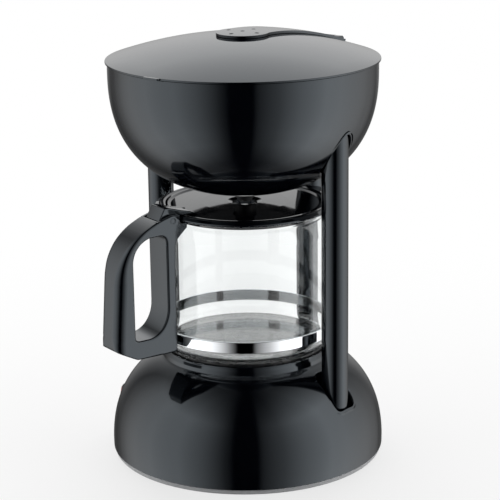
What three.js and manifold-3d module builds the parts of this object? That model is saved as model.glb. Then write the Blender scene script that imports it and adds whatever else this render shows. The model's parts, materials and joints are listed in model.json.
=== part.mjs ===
// Drip coffee maker. A domed base holds the heater and the warming plate, three posts carry a
// bowl-shaped top with the water tank and the filter basket, and a glass jug stands between them.
// Millimetres, +Z up, the front faces -Y. Z = 0 is the flat underside of the base plate.
import * as THREE from 'three';
import { mergeVertices } from 'three/addons/utils/BufferGeometryUtils.js';
import Module from 'manifold-3d';

const wasm = await Module();
wasm.setup();

// Driving dimensions.

const gap = 0.3; // between pieces that touch
const wall = 2.4; // moulded plastic shells
const smooth = 32; // sides of a large round piece
const fine = 20; // sides of a middle-sized round piece
const small = 12; // sides of a screw, pin or hose

const dome = { radius: 102.5, height: 83.5, centre: 5, power: 2.4, up: 1 };
const bowl = { radius: 98.5, height: 90, centre: 290.3, power: 2.4, up: -1 };
const bowlFloor = 204.5;
const bowlRim = 296.7;

const plateRing = { outer: 63.8, inner: 60.4, step: 79.2, top: 82.4, ledge: 76.9 };
const plate = { radius: 60.1, top: 83.9, thickness: 1.6, skirt: 2 };

const post = { radius: 9.7, bore: 5.4, circle: 81.9, foot: 43.3, angles: { right: 0, rear: 90, left: 180 } };
const pocket = { circle: 81.2, halfDepth: 11, halfWidth: 11.2, corner: 4, wall: 2.2, floor: 43, base: 2 };
const stub = { radius: 6.3, bottom: 31 };

const footSpot = { circle: 86, radius: 8, proud: 0.6, sunk: 1.2, angles: [0, 90, 180, 270] };
const baseScrew = { circle: 88, radius: 1.7, head: 3.6, top: 17, angles: [45, 165, 285] };
const gland = { angle: 90, z: 17, radius: 6.5, bore: 3.2 };

const lid = { radius: 100, edge: 298.3, rise: 17, thickness: 2.2, skirt: 95.6, skirtBottom: 292.5 };
const hinge = { y: 103, z: 297.5, pin: 1.6, knuckle: 4, halfWidth: 7.5, earWidth: 6 };

const duct = { from: -7, to: 88, wall: 1.3, depth: 5.6, halfWidth: 5 };

const well = { inner: 46, outer: 47.6, top: 283.8 };
const tank = { floor: 241, wall: 1.6, clearance: 0.9, rim: 291.8 };
const tankInset = wall + tank.clearance;
const snout = { bore: 4.6, outer: 7.2, bottom: 194.4 };
// The plunger is drawn raised; its head clears the basket's seat by the stroke of the valve.
const dripStop = { bottom: 192, flange: 5.6, stem: 2.4, head: 6.6, headBottom: 218.2, headTop: 219.4 };
const spring = { radius: 3.5, wire: 0.35, bottom: 195, height: 15.5, coils: 6, perCoil: 8 };

const underPlate = plate.top - plate.thickness - gap;
const heater = { bar: 4.2, clearance: 0.3, ring: 37, tube: 3.6, tubeBore: 2.6, tubeRing: 48.5,
  from: 120, to: 420, bend: 8 };
const heaterZ = underPlate - heater.bar - heater.clearance;
const strapTop = heaterZ - heater.bar - gap;
const hose = { radius: 5.5, bore: 4.3 };
const tube = { radius: 3.6, bore: 2.6, bottom: 24 };
const valve = { start: [-62, 24, 13], end: [-44, 40, 13], nipple: 5 };

const glass = { radius: 65.2, bottom: 84.3, corner: 9, wall: 2.2, shoulder: 172, neck: 60.4, rim: 189.7 };
const band = { inner: 65.5, outer: 67.6, bottom: 94.5, top: 103 };
const collar = { inner: 60.7, outer: 66.5, bottom: 187.6, ledge: 190, top: 191.3, seat: 62.7 };
const jugLid = { radius: 62.4, top: 191.6, rim: 1.3, hole: 9, skirt: 56.6, skirtBottom: 184.2 };
const lever = { halfWidth: 8.65, from: 50, crest: 199, tip: 81.2, slotEnd: 82, slotFloor: 184.6 };
const handle = { angle: -106.5, halfWidth: 12.3, bevel: 1.8 };
const jugPin = { r: 71.2, z: 189.8, radius: 1.6, clearance: 0.2 };
const bandLug = { end: 76, halfWidth: 5, bottom: 97.6, top: 99.4 };
const lugScrew = { r: 72.8, head: 3.2, headTop: 94.8, shank: 1.5, bottom: 92.4, top: 107 };

const vent = { radius: 19.5, neck: 17.5, rearWidth: 22.6, rear: 97.5, thickness: 1.9, circle: 13, hole: 1.5 };
const rocker = { angle: 195, z: 28, tilt: 11.5, halfWidth: 9.2, halfHeight: 6.2, swing: 6 };

// Finishes.

const finishes = {
  glossBlack: { color: 0x0d0e12, roughness: 0.12, metalness: 0 },
  mattBlack: { color: 0x1a1b1d, roughness: 0.55, metalness: 0 },
  paleGrey: { color: 0xc9cacb, roughness: 0.5, metalness: 0 },
  rubber: { color: 0x1c1c1c, roughness: 0.9, metalness: 0 },
  silicone: { color: 0xd9d6cf, roughness: 0.6, metalness: 0 },
  steel: { color: 0xb9bbbd, roughness: 0.3, metalness: 1 },
  chrome: { color: 0xe4e6e8, roughness: 0.06, metalness: 1 },
  plateSteel: { color: 0x3a3c3f, roughness: 0.35, metalness: 0.6 },
  aluminium: { color: 0xc2c4c6, roughness: 0.4, metalness: 1 },
  glass: { color: 0xf2f6f6, roughness: 0.02, metalness: 0, transparent: true, opacity: 0.35 },
  mesh: { color: 0xc8b070, roughness: 0.4, metalness: 1 },
  red: { color: 0xb3231b, roughness: 0.3, metalness: 0 },
};

// Helpers.

const radians = THREE.MathUtils.degToRad;
const model = new THREE.Group();

function addPiece(name, geometry, finish, parent = model) {
  const piece = new THREE.Mesh(geometry, new THREE.MeshStandardMaterial(finish));
  piece.name = name;
  parent.add(piece);
  return piece;
}

function addGroup(angle, parent = model) {
  const group = new THREE.Group();
  group.rotation.z = radians(angle);
  parent.add(group);
  return group;
}

// Solid of revolution about Z. The outline is a list of [radius, height] points, closed on itself,
// or open with both ends on the axis.
function turned(outline, segments = fine) {
  const area = outline.reduce((sum, [r, z], i) => {
    const [nextR, nextZ] = outline[(i + 1) % outline.length];
    return sum + r * nextZ - nextR * z;
  }, 0);
  const ring = area > 0 ? [...outline] : [...outline].reverse();
  if (ring[0][0] > 0) ring.push(ring[0]);
  const points = ring.map(([r, z]) => new THREE.Vector2(r, z));
  return new THREE.LatheGeometry(points, segments).rotateX(Math.PI / 2);
}

const rod = (radius, bottom, top, segments = small) =>
  turned([[0, bottom], [radius, bottom], [radius, top], [0, top]], segments);

const pipe = (inner, outer, bottom, top, segments = small) =>
  turned([[inner, bottom], [outer, bottom], [outer, top], [inner, top]], segments);

function box(x0, x1, y0, y1, z0, z1) {
  const geometry = new THREE.BoxGeometry(x1 - x0, y1 - y0, z1 - z0);
  return geometry.translate((x0 + x1) / 2, (y0 + y1) / 2, (z0 + z1) / 2);
}

const polygon = (points) => new THREE.Shape(points.map(([x, y]) => new THREE.Vector2(x, y)));

// A flat outline in XY, pulled up from one height to another.
const raised = (shape, bottom, top, curveSegments = 6) =>
  new THREE.ExtrudeGeometry(shape, { depth: top - bottom, bevelEnabled: false, curveSegments })
    .translate(0, 0, bottom);

// An outline of [radius, height] points in the XZ plane, given a thickness along Y and rounded edges.
function sideCut(shape, halfWidth, bevel = 0) {
  const options = { depth: 2 * (halfWidth - bevel), bevelEnabled: bevel > 0, curveSegments: 6 };
  if (bevel > 0) {
    const edge = { bevelSize: bevel, bevelThickness: bevel, bevelOffset: -bevel, bevelSegments: 2 };
    Object.assign(options, edge);
  }
  return new THREE.ExtrudeGeometry(shape, options)
    .translate(0, 0, bevel - halfWidth)
    .rotateX(Math.PI / 2);
}

function roundedRectangle(x0, x1, y0, y1, corner) {
  const shape = new THREE.Shape();
  shape.moveTo(x0 + corner, y0);
  shape.lineTo(x1 - corner, y0);
  shape.absarc(x1 - corner, y0 + corner, corner, -Math.PI / 2, 0);
  shape.lineTo(x1, y1 - corner);
  shape.absarc(x1 - corner, y1 - corner, corner, 0, Math.PI / 2);
  shape.lineTo(x0 + corner, y1);
  shape.absarc(x0 + corner, y1 - corner, corner, Math.PI / 2, Math.PI);
  shape.lineTo(x0, y0 + corner);
  shape.absarc(x0 + corner, y0 + corner, corner, Math.PI, Math.PI * 1.5);
  return shape;
}

function circleShape(radius, sides) {
  const corners = Array.from({ length: sides }, (_, i) => {
    const angle = (i / sides) * 2 * Math.PI;
    return [radius * Math.cos(angle), radius * Math.sin(angle)];
  });
  return polygon(corners);
}

// A round bar or, with a bore, a hose along a smooth curve through points.
function bent(points, radius, steps, { bore = 0, sides = 10 } = {}) {
  const shape = circleShape(radius, sides);
  if (bore > 0) shape.holes.push(circleShape(bore, sides));
  const extrudePath = new THREE.CatmullRomCurve3(points.map((p) => new THREE.Vector3(...p)));
  return new THREE.ExtrudeGeometry(shape, { steps, bevelEnabled: false, extrudePath });
}

const polar = (radius, angle, z = 0) =>
  [radius * Math.cos(radians(angle)), radius * Math.sin(radians(angle)), z];

// Booleans. Vertices are merged and collapsed triangles dropped before the solid is made.
function solid(geometry) {
  const plain = geometry.clone();
  plain.deleteAttribute('normal');
  plain.deleteAttribute('uv');
  const merged = mergeVertices(plain, 1e-4);
  const index = Array.from(merged.index.array);
  const kept = [];
  for (let i = 0; i < index.length; i += 3) {
    const [a, b, c] = index.slice(i, i + 3);
    if (a !== b && b !== c && c !== a) kept.push(a, b, c);
  }
  const vertProperties = new Float32Array(merged.attributes.position.array);
  return new wasm.Manifold(new wasm.Mesh({ numProp: 3, vertProperties, triVerts: new Uint32Array(kept) }));
}

function shaped(manifold) {
  const { vertProperties, triVerts } = manifold.getMesh();
  const geometry = new THREE.BufferGeometry();
  geometry.setAttribute('position', new THREE.BufferAttribute(new Float32Array(vertProperties), 3));
  geometry.setIndex(new THREE.BufferAttribute(new Uint32Array(triVerts), 1));
  return geometry;
}

const cut = (base, ...tools) =>
  shaped(tools.reduce((body, tool) => body.subtract(solid(tool)), solid(base)));
const join = (base, ...others) =>
  shaped(others.reduce((body, other) => body.add(solid(other)), solid(base)));
const common = (a, b) => shaped(solid(a).intersect(solid(b)));

// The two curved shells.

// Both shells follow one curve: (r / radius)^power + (h / height)^power = 1, with h measured from
// the height where the wall stands upright. An inset moves the curve inwards by a wall thickness.
function shellHeight(shell, radius, inset = 0) {
  const inside = 1 - (radius / (shell.radius - inset)) ** shell.power;
  return shell.centre + shell.up * (shell.height - inset) * Math.max(inside, 0) ** (1 / shell.power);
}

function shellRadius(shell, z, inset = 0) {
  const inside = 1 - (Math.abs(z - shell.centre) / (shell.height - inset)) ** shell.power;
  return (shell.radius - inset) * Math.max(inside, 0) ** (1 / shell.power);
}

// Points along the curve from its widest radius to a smaller one.
function shellCurve(shell, endRadius, inset, steps) {
  const radius = shell.radius - inset;
  const height = shell.height - inset;
  const endAngle = Math.acos((endRadius / radius) ** (shell.power / 2));
  return Array.from({ length: steps + 1 }, (_, i) => {
    const angle = (endAngle * i) / steps;
    const r = radius * Math.cos(angle) ** (2 / shell.power);
    return [r, shell.centre + shell.up * height * Math.sin(angle) ** (2 / shell.power)];
  });
}

const domeEnvelope = () => turned([[0, 0], [dome.radius, 0], ...shellCurve(dome, 8, 0, 9),
  [0, shellHeight(dome, 0)]], smooth);
const bowlCavity = () => turned([[0, bowlRim + 20], [bowl.radius - wall, bowlRim + 20],
  ...shellCurve(bowl, 8, wall, 9), [0, shellHeight(bowl, 0, wall)]], smooth);

// Base: plate, feet, shell and screws.

function makeBasePlate() {
  const disc = turned([[0, 0], [100.2, 0], [101.2, 1], [101.2, gap + 3], [98.8, gap + 3], [98.8, 8],
    [97.2, 8], [97.2, 3], [0, 3]], smooth);
  const recesses = footSpot.angles.map((angle) =>
    rod(footSpot.radius + gap, -1, footSpot.sunk + gap, small).translate(...polar(footSpot.circle, angle)));
  const holes = baseScrew.angles.flatMap((angle) => [rod(baseScrew.head + 0.5, -1, 1.7), rod(2.2, 1, 4)]
    .map((hole) => hole.translate(...polar(baseScrew.circle, angle))));
  addPiece('base_plate', cut(disc, ...recesses, ...holes), finishes.paleGrey);
}

function makeFeet() {
  footSpot.angles.forEach((angle, i) => {
    const pad = turned([[0, -footSpot.proud], [7.2, -footSpot.proud], [footSpot.radius, -0.2],
      [footSpot.radius, footSpot.sunk], [0, footSpot.sunk]], small);
    addPiece(`foot_${i + 1}`, pad, finishes.rubber).position.set(...polar(footSpot.circle, angle));
  });
}

function makeBaseScrews() {
  baseScrew.angles.forEach((angle, i) => {
    const screw = turned([[0, 0.3], [baseScrew.head, 0.3], [baseScrew.head, 1.4], [baseScrew.radius, 1.4],
      [baseScrew.radius, baseScrew.top - 1.5], [0, baseScrew.top]], small);
    addPiece(`base_screw_${i + 1}`, screw, finishes.steel).position.set(...polar(baseScrew.circle, angle));
  });
}

function makeBaseShell() {
  const bottom = 3.6;
  const { outer, inner, step, top, ledge } = plateRing;
  const outside = shellCurve(dome, outer, 0, 7);
  const inside = shellCurve(dome, outer, wall, 4).reverse();
  const skin = turned([[dome.radius - wall, bottom], [dome.radius - 0.2, bottom], ...outside,
    [outer, step], [outer - 0.9, top - 1], [inner + 1, top], [inner, top - 0.3], [inner, ledge],
    [56.5, ledge], [56.5, ledge - wall], [outer - 2, ledge - wall], ...inside], smooth);
  const envelope = domeEnvelope();
  const pocketPlan = (grow) => roundedRectangle(-pocket.halfDepth - grow, pocket.halfDepth + grow,
    -pocket.halfWidth - grow, pocket.halfWidth + grow, pocket.corner + grow);
  const atPost = (geometry, circle, angle) => geometry.translate(circle, 0, 0).rotateZ(radians(angle));
  const sockets = Object.values(post.angles).map((angle) =>
    common(atPost(raised(pocketPlan(pocket.wall), pocket.floor - pocket.base, 100, 3), pocket.circle, angle),
      envelope));
  const bosses = baseScrew.angles.map((angle) =>
    common(rod(4.5, 4, 70, 8).translate(...polar(baseScrew.circle, angle)), envelope));
  const pockets = Object.values(post.angles).flatMap((angle) => [
    atPost(raised(pocketPlan(0), pocket.floor, 120, 3), pocket.circle, angle),
    atPost(rod(stub.radius + 0.5, 20, 60), post.circle, angle),
  ]);
  const pilots = baseScrew.angles.map((angle) =>
    rod(2, 0, baseScrew.top + 1, 8).translate(...polar(baseScrew.circle, angle)));
  const cableHole = rod(gland.radius + gap, 90, 110).rotateY(Math.PI / 2).translate(0, 0, gland.z)
    .rotateZ(radians(gland.angle));
  const switchHole = box(-30, 10, -rocker.halfWidth - 2.2, rocker.halfWidth + 2.2,
    -rocker.halfHeight - 2.2, rocker.halfHeight + 2.2);
  addPiece('base_shell', cut(join(skin, ...sockets, ...bosses), ...pockets, ...pilots, cableHole,
    placeOnWall(switchHole)),
    finishes.glossBlack);
}

// Moves a geometry from the switch's own frame (+X out of the wall) to its place on the dome.
function placeOnWall(geometry) {
  return geometry.rotateY(radians(-rocker.tilt))
    .translate(shellRadius(dome, rocker.z), 0, rocker.z)
    .rotateZ(radians(rocker.angle));
}

function makeSwitch() {
  const { halfWidth, halfHeight, swing } = rocker;
  const flange = box(0.5, 2, -halfWidth - 3.6, halfWidth + 3.6, -halfHeight - 3.6, halfHeight + 3.6);
  const body = box(-14, 1, -halfWidth - 1.8, halfWidth + 1.8, -halfHeight - 1.8, halfHeight + 1.8);
  const opening = box(-12, 3, -halfWidth - 0.5, halfWidth + 0.5, -halfHeight - 0.5, halfHeight + 0.5);
  addPiece('switch_bezel', placeOnWall(cut(join(flange, body), opening)), finishes.mattBlack);
  const profile = polygon([[-4, -3], [-4, 3], [-0.5, halfWidth], [3, halfWidth], [1.6, 0],
    [3, -halfWidth], [-0.5, -halfWidth]]);
  const button = raised(profile, -halfHeight, halfHeight).rotateZ(radians(-swing));
  addPiece('power_rocker', placeOnWall(button), finishes.red);
}

function makeGland() {
  const bush = turned([[gland.bore, 94], [gland.radius, 94], [gland.radius, 103], [gland.radius + 1.8, 103],
    [gland.radius + 1.8, 104.5], [gland.bore, 104.5]], small);
  bush.rotateY(Math.PI / 2).translate(0, 0, gland.z).rotateZ(radians(gland.angle));
  addPiece('cord_gland', bush, finishes.rubber);
}

// Warming plate, heater and plumbing.

function makeWarmingPlate() {
  const { radius, top, thickness, skirt } = plate;
  addPiece('warming_plate', turned([[0, underPlate + gap], [radius - skirt, underPlate + gap],
    [radius - skirt, plateRing.ledge + gap], [radius, plateRing.ledge + gap], [radius, top - 0.8],
    [radius - 0.8, top], [46, top], [45.2, top - 0.5], [44.4, top - 0.5], [43.6, top], [0, top]], smooth),
  finishes.plateSteel);
}

// A bar bent to an open ring under the plate, with both ends turned down.
function ringBar(radius, drop, thickness, bore) {
  const { from, to, bend } = heater;
  const turn = (distance) => THREE.MathUtils.radToDeg(distance / radius);
  const arc = Array.from({ length: 11 }, (_, i) => {
    const angle = from + turn(bend) + ((to - from - 2 * turn(bend)) * i) / 10;
    return polar(radius, angle, heaterZ);
  });
  const ends = [[from, 1], [to, -1]].map(([angle, side]) => [
    polar(radius, angle, heaterZ - drop),
    polar(radius, angle, heaterZ - bend - 2),
    polar(radius, angle + side * turn(bend * 0.25), heaterZ - bend * 0.3),
  ]);
  return bent([...ends[0], ...arc, ...ends[1].reverse()], thickness, 22, { bore, sides: 6 });
}

function makeHeater() {
  addPiece('heater_element', ringBar(heater.ring, 14, heater.bar, 0), finishes.aluminium);
  addPiece('heater_water_tube', ringBar(heater.tubeRing, 22, heater.tube, heater.tubeBore),
    finishes.aluminium);
  const strap = box(-53, 53, -6, 6, strapTop - 2, strapTop);
  const hole = rod(2.4, strapTop - 10, strapTop + 10);
  addPiece('heater_bracket', cut(strap, hole), finishes.steel);
  addPiece('bracket_screw', turned([[0, strapTop - 5], [4, strapTop - 5], [4, strapTop - 2 - gap],
    [2, strapTop - 2 - gap], [2, underPlate], [0, underPlate]], small), finishes.steel);
  addPiece('thermostat', turned([[0, underPlate - 13], [5, underPlate - 13], [5, underPlate - 9],
    [8.5, underPlate - 9], [8.5, underPlate], [0, underPlate]], small), finishes.mattBlack)
    .position.set(0, -21, 0);
  const fuse = rod(2.2, -8, 8, 8).rotateY(Math.PI / 2);
  addPiece('thermal_fuse', fuse, finishes.silicone).position.set(0, 20, underPlate - 2.6);
}

function makePlumbing() {
  const [startX, startY, z] = valve.start;
  const [endX, endY] = valve.end;
  const length = Math.hypot(endX - startX, endY - startY);
  const along = [(endX - startX) / length, (endY - startY) / length];
  const onAxis = (distance) => [startX + along[0] * distance, startY + along[1] * distance, z];
  const body = turned([[0, 0], [tube.radius, 0], [tube.radius, valve.nipple], [6.2, valve.nipple + 1],
    [6.2, length - valve.nipple - 1], [tube.radius, length - valve.nipple], [tube.radius, length],
    [0, length]]).rotateY(Math.PI / 2).rotateZ(Math.atan2(along[1], along[0]));
  addPiece('check_valve', body, finishes.mattBlack).position.set(startX, startY, z);

  const options = { bore: hose.bore, sides: 7 };
  const lowered = (x, y, ...heights) => heights.map((height) => [x, y, height]);
  const tankTube = [-post.circle, 0];
  addPiece('hose_tank_side', bent([...lowered(...tankTube, 29, 22, 18), [-80, 5.4, 13.4], onAxis(-8),
    onAxis(-2), onAxis(valve.nipple - 0.7)], hose.radius, 13, options), finishes.silicone);
  const waterEnd = heaterZ - 22;
  const inlet = polar(heater.tubeRing, heater.from).slice(0, 2);
  const outlet = polar(heater.tubeRing, heater.to).slice(0, 2);
  addPiece('hose_heater_side', bent([onAxis(length - valve.nipple + 0.7), onAxis(length + 2),
    onAxis(length + 8), [-27, 50, 18], ...lowered(...inlet, 36, 46, waterEnd + 5)], hose.radius, 13,
  options), finishes.silicone);
  addPiece('hose_riser_side', bent([...lowered(...outlet, waterEnd + 5, 46, 36), [20, 51, 22],
    [8, 68, 12.5], ...lowered(0, post.circle, 15, 21, 29)], hose.radius, 14, options), finishes.silicone);
}

function makeWiring() {
  addPiece('terminal_block', box(34, 58, -16, -4, 3.6, 16), finishes.silicone);
  const [elementX, elementY] = polar(heater.ring, heater.to);
  const elementZ = heaterZ - 14 - gap;
  addPiece('wire_live', bent([[40, -10, 16.3], [40, -10, 28], [24, -18, 50], [7.4, -21, 60],
    [7.4, -21, underPlate - 9 - gap]], 1.3, 12, { sides: 6 }), finishes.silicone);
  addPiece('wire_neutral', bent([[52, -10, 16.3], [52, -10, 26], [44, 8, 36], [elementX, elementY, 52],
    [elementX, elementY, elementZ]], 1.3, 12, { sides: 6 }), finishes.silicone);
}

// Posts.

function makePosts() {
  const { radius, bore, circle, foot, angles } = post;
  const column = turned([[bore, stub.bottom], [stub.radius, stub.bottom], [stub.radius, foot],
    [radius, foot], [radius, 265], [bore, 265]], 20).translate(circle, 0, 0);
  const nut = cut(rod(10.5, 34.4, pocket.floor - pocket.base - gap, 6), rod(stub.radius + gap, 30, 50));
  for (const [side, angle] of Object.entries(angles)) {
    addPiece(`post_${side}`, cut(column, bowlCavity()), finishes.glossBlack, addGroup(angle));
    addPiece(`post_nut_${side}`, nut.clone(), finishes.steel, addGroup(angle)).position.set(circle, 0, 0);
  }
}

// The riser runs up beside the tank wall to the lid; the feed starts level with the tank floor.
function makeTubes() {
  const spots = { riser: [post.angles.rear, 290.4], feed: [post.angles.left, tank.floor] };
  const space = turned([...tankSpace(-gap, tank.floor + gap, 300, 4), [well.outer + gap, 300]], smooth);
  for (const [name, [angle, top]] of Object.entries(spots)) {
    const [x, y] = polar(post.circle, angle);
    addPiece(`${name}_tube`, pipe(tube.bore, tube.radius, tube.bottom, top), finishes.silicone)
      .position.set(x, y, 0);
    const sleeve = pipe(tube.radius + gap, 5.1, 229, 258).translate(x, y, 0);
    addPiece(`${name}_grommet`, cut(sleeve, space), finishes.rubber);
  }
}

// The bowl-shaped top: housing, tank, basket and drip stop.

function makeHousing() {
  const outletHole = 9;
  const outside = shellCurve(bowl, shellRadius(bowl, bowlFloor), 0, 8).reverse();
  const insideFloor = bowlFloor + wall;
  const inside = shellCurve(bowl, shellRadius(bowl, insideFloor, wall), wall, 5);
  const skin = turned([[outletHole, bowlFloor], ...outside, [bowl.radius, bowlRim],
    [bowl.radius - wall, bowlRim], ...inside, [outletHole, insideFloor]], smooth);
  const holes = Object.values(post.angles).map((angle) =>
    rod(post.radius + 1, 190, 265, 20).translate(post.circle, 0, 0).rotateZ(radians(angle)));
  addPiece('bowl_housing', cut(skin, ...holes), finishes.glossBlack);
}

// The ring-shaped space of the tank: a flat floor around the well, then up inside the bowl's curve.
function tankSpace(grow, bottom, top, steps) {
  const inset = tankInset + tank.wall - grow;
  const curve = shellCurve(bowl, shellRadius(bowl, bottom, inset), inset, steps).reverse();
  return [[well.outer - grow, bottom], ...curve, [bowl.radius - inset, top]];
}

function makeTank() {
  const outside = tankSpace(tank.wall, tank.floor - tank.wall, tank.rim, 4);
  const inside = tankSpace(0, tank.floor, tank.rim, 4).reverse();
  const liner = turned([...outside, ...inside, [well.outer, well.top], [well.inner, well.top]], smooth);
  const holes = [post.angles.rear, post.angles.left].map((angle) =>
    rod(5.4, 190, 262, 12).translate(...polar(post.circle, angle)));
  addPiece('water_tank', cut(liner, ...holes), finishes.mattBlack);
}

function makeBasket() {
  const { bore, outer, bottom } = snout;
  addPiece('filter_basket', turned([[bore, bottom], [outer, bottom], [outer, 212.6], [11, 213.4], [30, 221.8],
    [44, 280], [45.2, well.top + gap], [49, well.top + gap], [49, well.top + 2.4], [43.6, well.top + 2.4],
    [42.4, 280.4], [28.7, 223.4], [9, 215], [3.2, 214.6], [3.2, 211.5], [bore, 211.5]]),
  finishes.mattBlack);
  addPiece('filter_mesh', turned([[0, 221.3], [27, 224.8], [41.4, 281.4], [40.4, 281.4], [26.2, 226],
    [0, 222.5]]), finishes.mesh);
}

function makeDripStop() {
  const { bottom, flange, stem, head, headBottom, headTop } = dripStop;
  const flangeTop = snout.bottom - gap;
  addPiece('drip_stop_plunger', turned([[0, bottom], [flange - 0.8, bottom], [flange, bottom + 0.8],
    [flange, flangeTop], [stem, flangeTop], [stem, headBottom], [head, headBottom], [head, headTop],
    [0, headTop + 1]], small), finishes.mattBlack);
  const steps = spring.coils * spring.perCoil;
  const coilPoints = Array.from({ length: steps + 1 }, (_, i) =>
    polar(spring.radius, (i * 360) / spring.perCoil, spring.bottom + (spring.height * i) / steps));
  addPiece('drip_stop_spring', bent(coilPoints, spring.wire, steps, { sides: 4 }), finishes.steel);
}

// Main lid, its hinge, shower head and vent lever.

const lidHeight = (r, lift = 0) => lid.edge + lid.rise * (1 - (r / lid.radius) ** 2) + lift;
const lidCurve = (from, to, lift, steps) => Array.from({ length: steps + 1 }, (_, i) => {
  const r = from + ((to - from) * i) / steps;
  return [r, lidHeight(r, lift)];
});

const ventSpots = [[0, 0], ...[0, 90, 180, 270].map((angle) => polar(vent.circle, angle).slice(0, 2))];
const ventHoles = () => ventSpots.map(([x, y]) => rod(vent.hole, 300, 330, 8).translate(x, y, 0));

function makeLid() {
  const { radius, edge, thickness, skirt, skirtBottom } = lid;
  const shell = turned([...lidCurve(0, radius, 0, 6), [radius, edge - 1.2], [skirt, edge - 1.2],
    [skirt, skirtBottom], [skirt - 1.7, skirtBottom], ...lidCurve(skirt - 1.7, 0, -thickness, 4)], smooth);
  const tab = raised(roundedRectangle(-8, 8, -103.4, -96, 2), edge - 1.2, edge + 0.3, 3);
  const earFrom = hinge.halfWidth + 0.5;
  const ears = [1, -1].map((side) => {
    const profile = new THREE.Shape();
    profile.moveTo(97.8, edge - 1.1);
    profile.lineTo(99.4, edge - 1.1);
    profile.lineTo(hinge.y, hinge.z - hinge.knuckle);
    profile.absarc(hinge.y, hinge.z, hinge.knuckle, -Math.PI / 2, Math.PI / 2);
    profile.lineTo(98, edge + 0.2);
    const ear = sideCut(profile, hinge.earWidth / 2).rotateZ(Math.PI / 2);
    return ear.translate(side * (earFrom + hinge.earWidth / 2), 0, 0);
  });
  const notch = box(-earFrom, earFrom, 98, 110, 290, 305);
  const pinHole = rod(hinge.pin + 0.2, -30, 30, 12).rotateY(Math.PI / 2).translate(0, hinge.y, hinge.z);
  const body = cut(join(shell, tab, ...ears), notch, pinHole, ...ventHoles());
  addPiece('lid', body, finishes.glossBlack);
}

function makeLidHinge() {
  const { y, z, knuckle, halfWidth, pin, earWidth } = hinge;
  const face = bowl.radius + gap;
  const pad = box(-14, 14, face, face + 1.8, 276, 292);
  const rib = box(-halfWidth, halfWidth, face, y + 2.5, 284, z);
  const barrel = rod(knuckle, -halfWidth, halfWidth).rotateY(Math.PI / 2).translate(0, y, z);
  const pinHole = rod(pin + 0.2, -30, 30, 12).rotateY(Math.PI / 2).translate(0, y, z);
  addPiece('lid_hinge_bracket', cut(join(pad, rib, barrel), pinHole), finishes.mattBlack);
  const reach = halfWidth + 0.5 + earWidth;
  addPiece('lid_hinge_pin', rod(pin, -reach, reach, 12).rotateY(Math.PI / 2), finishes.steel)
    .position.set(0, y, z);
}

function makeLidDuct() {
  const ceiling = -lid.thickness - gap;
  const floor = ceiling - duct.depth;
  const sideOf = (inset) => polygon([
    ...lidCurve(duct.from + inset, duct.to - inset, ceiling - inset, 5),
    ...lidCurve(duct.to - inset, duct.from + inset, floor + inset, 5)]);
  const bar = sideCut(sideOf(0), duct.halfWidth).rotateZ(Math.PI / 2);
  const channel = sideCut(sideOf(duct.wall), duct.halfWidth - duct.wall).rotateZ(Math.PI / 2);
  const inlet = rod(2.6, 280, 298).translate(0, post.circle, 0);
  const outlet = rod(2.6, 290, lidHeight(0, floor) + 2);
  addPiece('lid_duct', cut(bar, channel, inlet, outlet), finishes.mattBlack);
  addPiece('duct_seal', pipe(2.6, 4.6, 290.8, lidHeight(post.circle + 4.6, floor) - gap), finishes.rubber)
    .position.set(0, post.circle, 0);
  const stemTop = lidHeight(6, floor) - gap;
  addPiece('shower_head', turned([[2.6, 291.4], [28, 291.4], [29, 292.4], [29, 294.2], [7, 297], [4.8, 300],
    [4.8, stemTop], [2.6, stemTop]]), finishes.mattBlack);
}

// The vent cover is a strap lying on the lid: round in front, drawn in behind the holes, and wider
// again towards the hinge.
function makeVent() {
  const { radius, neck, rearWidth, rear, thickness } = vent;
  const start = Math.asin(neck / radius);
  const plan = new THREE.Shape();
  plan.moveTo(rearWidth, rear - 2);
  plan.quadraticCurveTo(neck - 1.5, 45, radius * Math.sin(start), radius * Math.cos(start));
  plan.absarc(0, 0, radius, Math.PI / 2 - start, -Math.PI * 1.5 + start, true);
  plan.quadraticCurveTo(1.5 - neck, 45, -rearWidth, rear - 2);
  plan.lineTo(0, rear);
  const skin = turned([...lidCurve(0, lid.radius, gap, 6),
    ...lidCurve(lid.radius, 0, gap + thickness, 6)], smooth);
  const strap = common(raised(plan, 270, 330, 6), skin);
  addPiece('vent_cover', cut(strap, ...ventHoles()), finishes.mattBlack);
}

// Jug: glass, band, collar, handle and lid.

const jug = addGroup(handle.angle);

function makeGlass() {
  const { radius, bottom, corner, wall: thick, shoulder, neck, rim } = glass;
  const arc = (r, from, to, steps) => Array.from({ length: steps + 1 }, (_, i) => {
    const angle = radians(from + ((to - from) * i) / steps);
    return [radius - corner + r * Math.cos(angle), bottom + corner + r * Math.sin(angle)];
  });
  const outside = [[0, bottom + 1.2], [radius - corner - 6, bottom + 0.6], ...arc(corner, -90, 0, 4),
    [radius, shoulder], [radius - 0.6, shoulder + 4], [radius - 2.2, shoulder + 7.4],
    [neck, shoulder + 10.2], [neck, rim]];
  const inside = [[neck - thick, rim], [neck - thick, shoulder + 10.6], [radius - thick - 2, shoulder + 5.8],
    [radius - thick, shoulder], ...arc(corner - thick, 0, -90, 3), [0, bottom + thick + 0.6]];
  addPiece('jug_glass', turned([...outside, ...inside], smooth), finishes.glass, jug);
}

// The band's lug runs into the handle, where one screw holds it.
function makeBand() {
  const ring = pipe(band.inner, band.outer, band.bottom, band.top, smooth);
  const { end, halfWidth, bottom, top } = bandLug;
  const lug = box(band.inner + 1, end, -halfWidth, halfWidth, bottom, top);
  const hole = rod(lugScrew.shank + gap, bottom - 1, top + 1, 10).translate(lugScrew.r, 0, 0);
  const inside = rod(band.inner, band.bottom - 1, band.top + 1, smooth);
  addPiece('jug_band', cut(join(ring, lug), hole, inside), finishes.chrome, jug);
}

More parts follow.
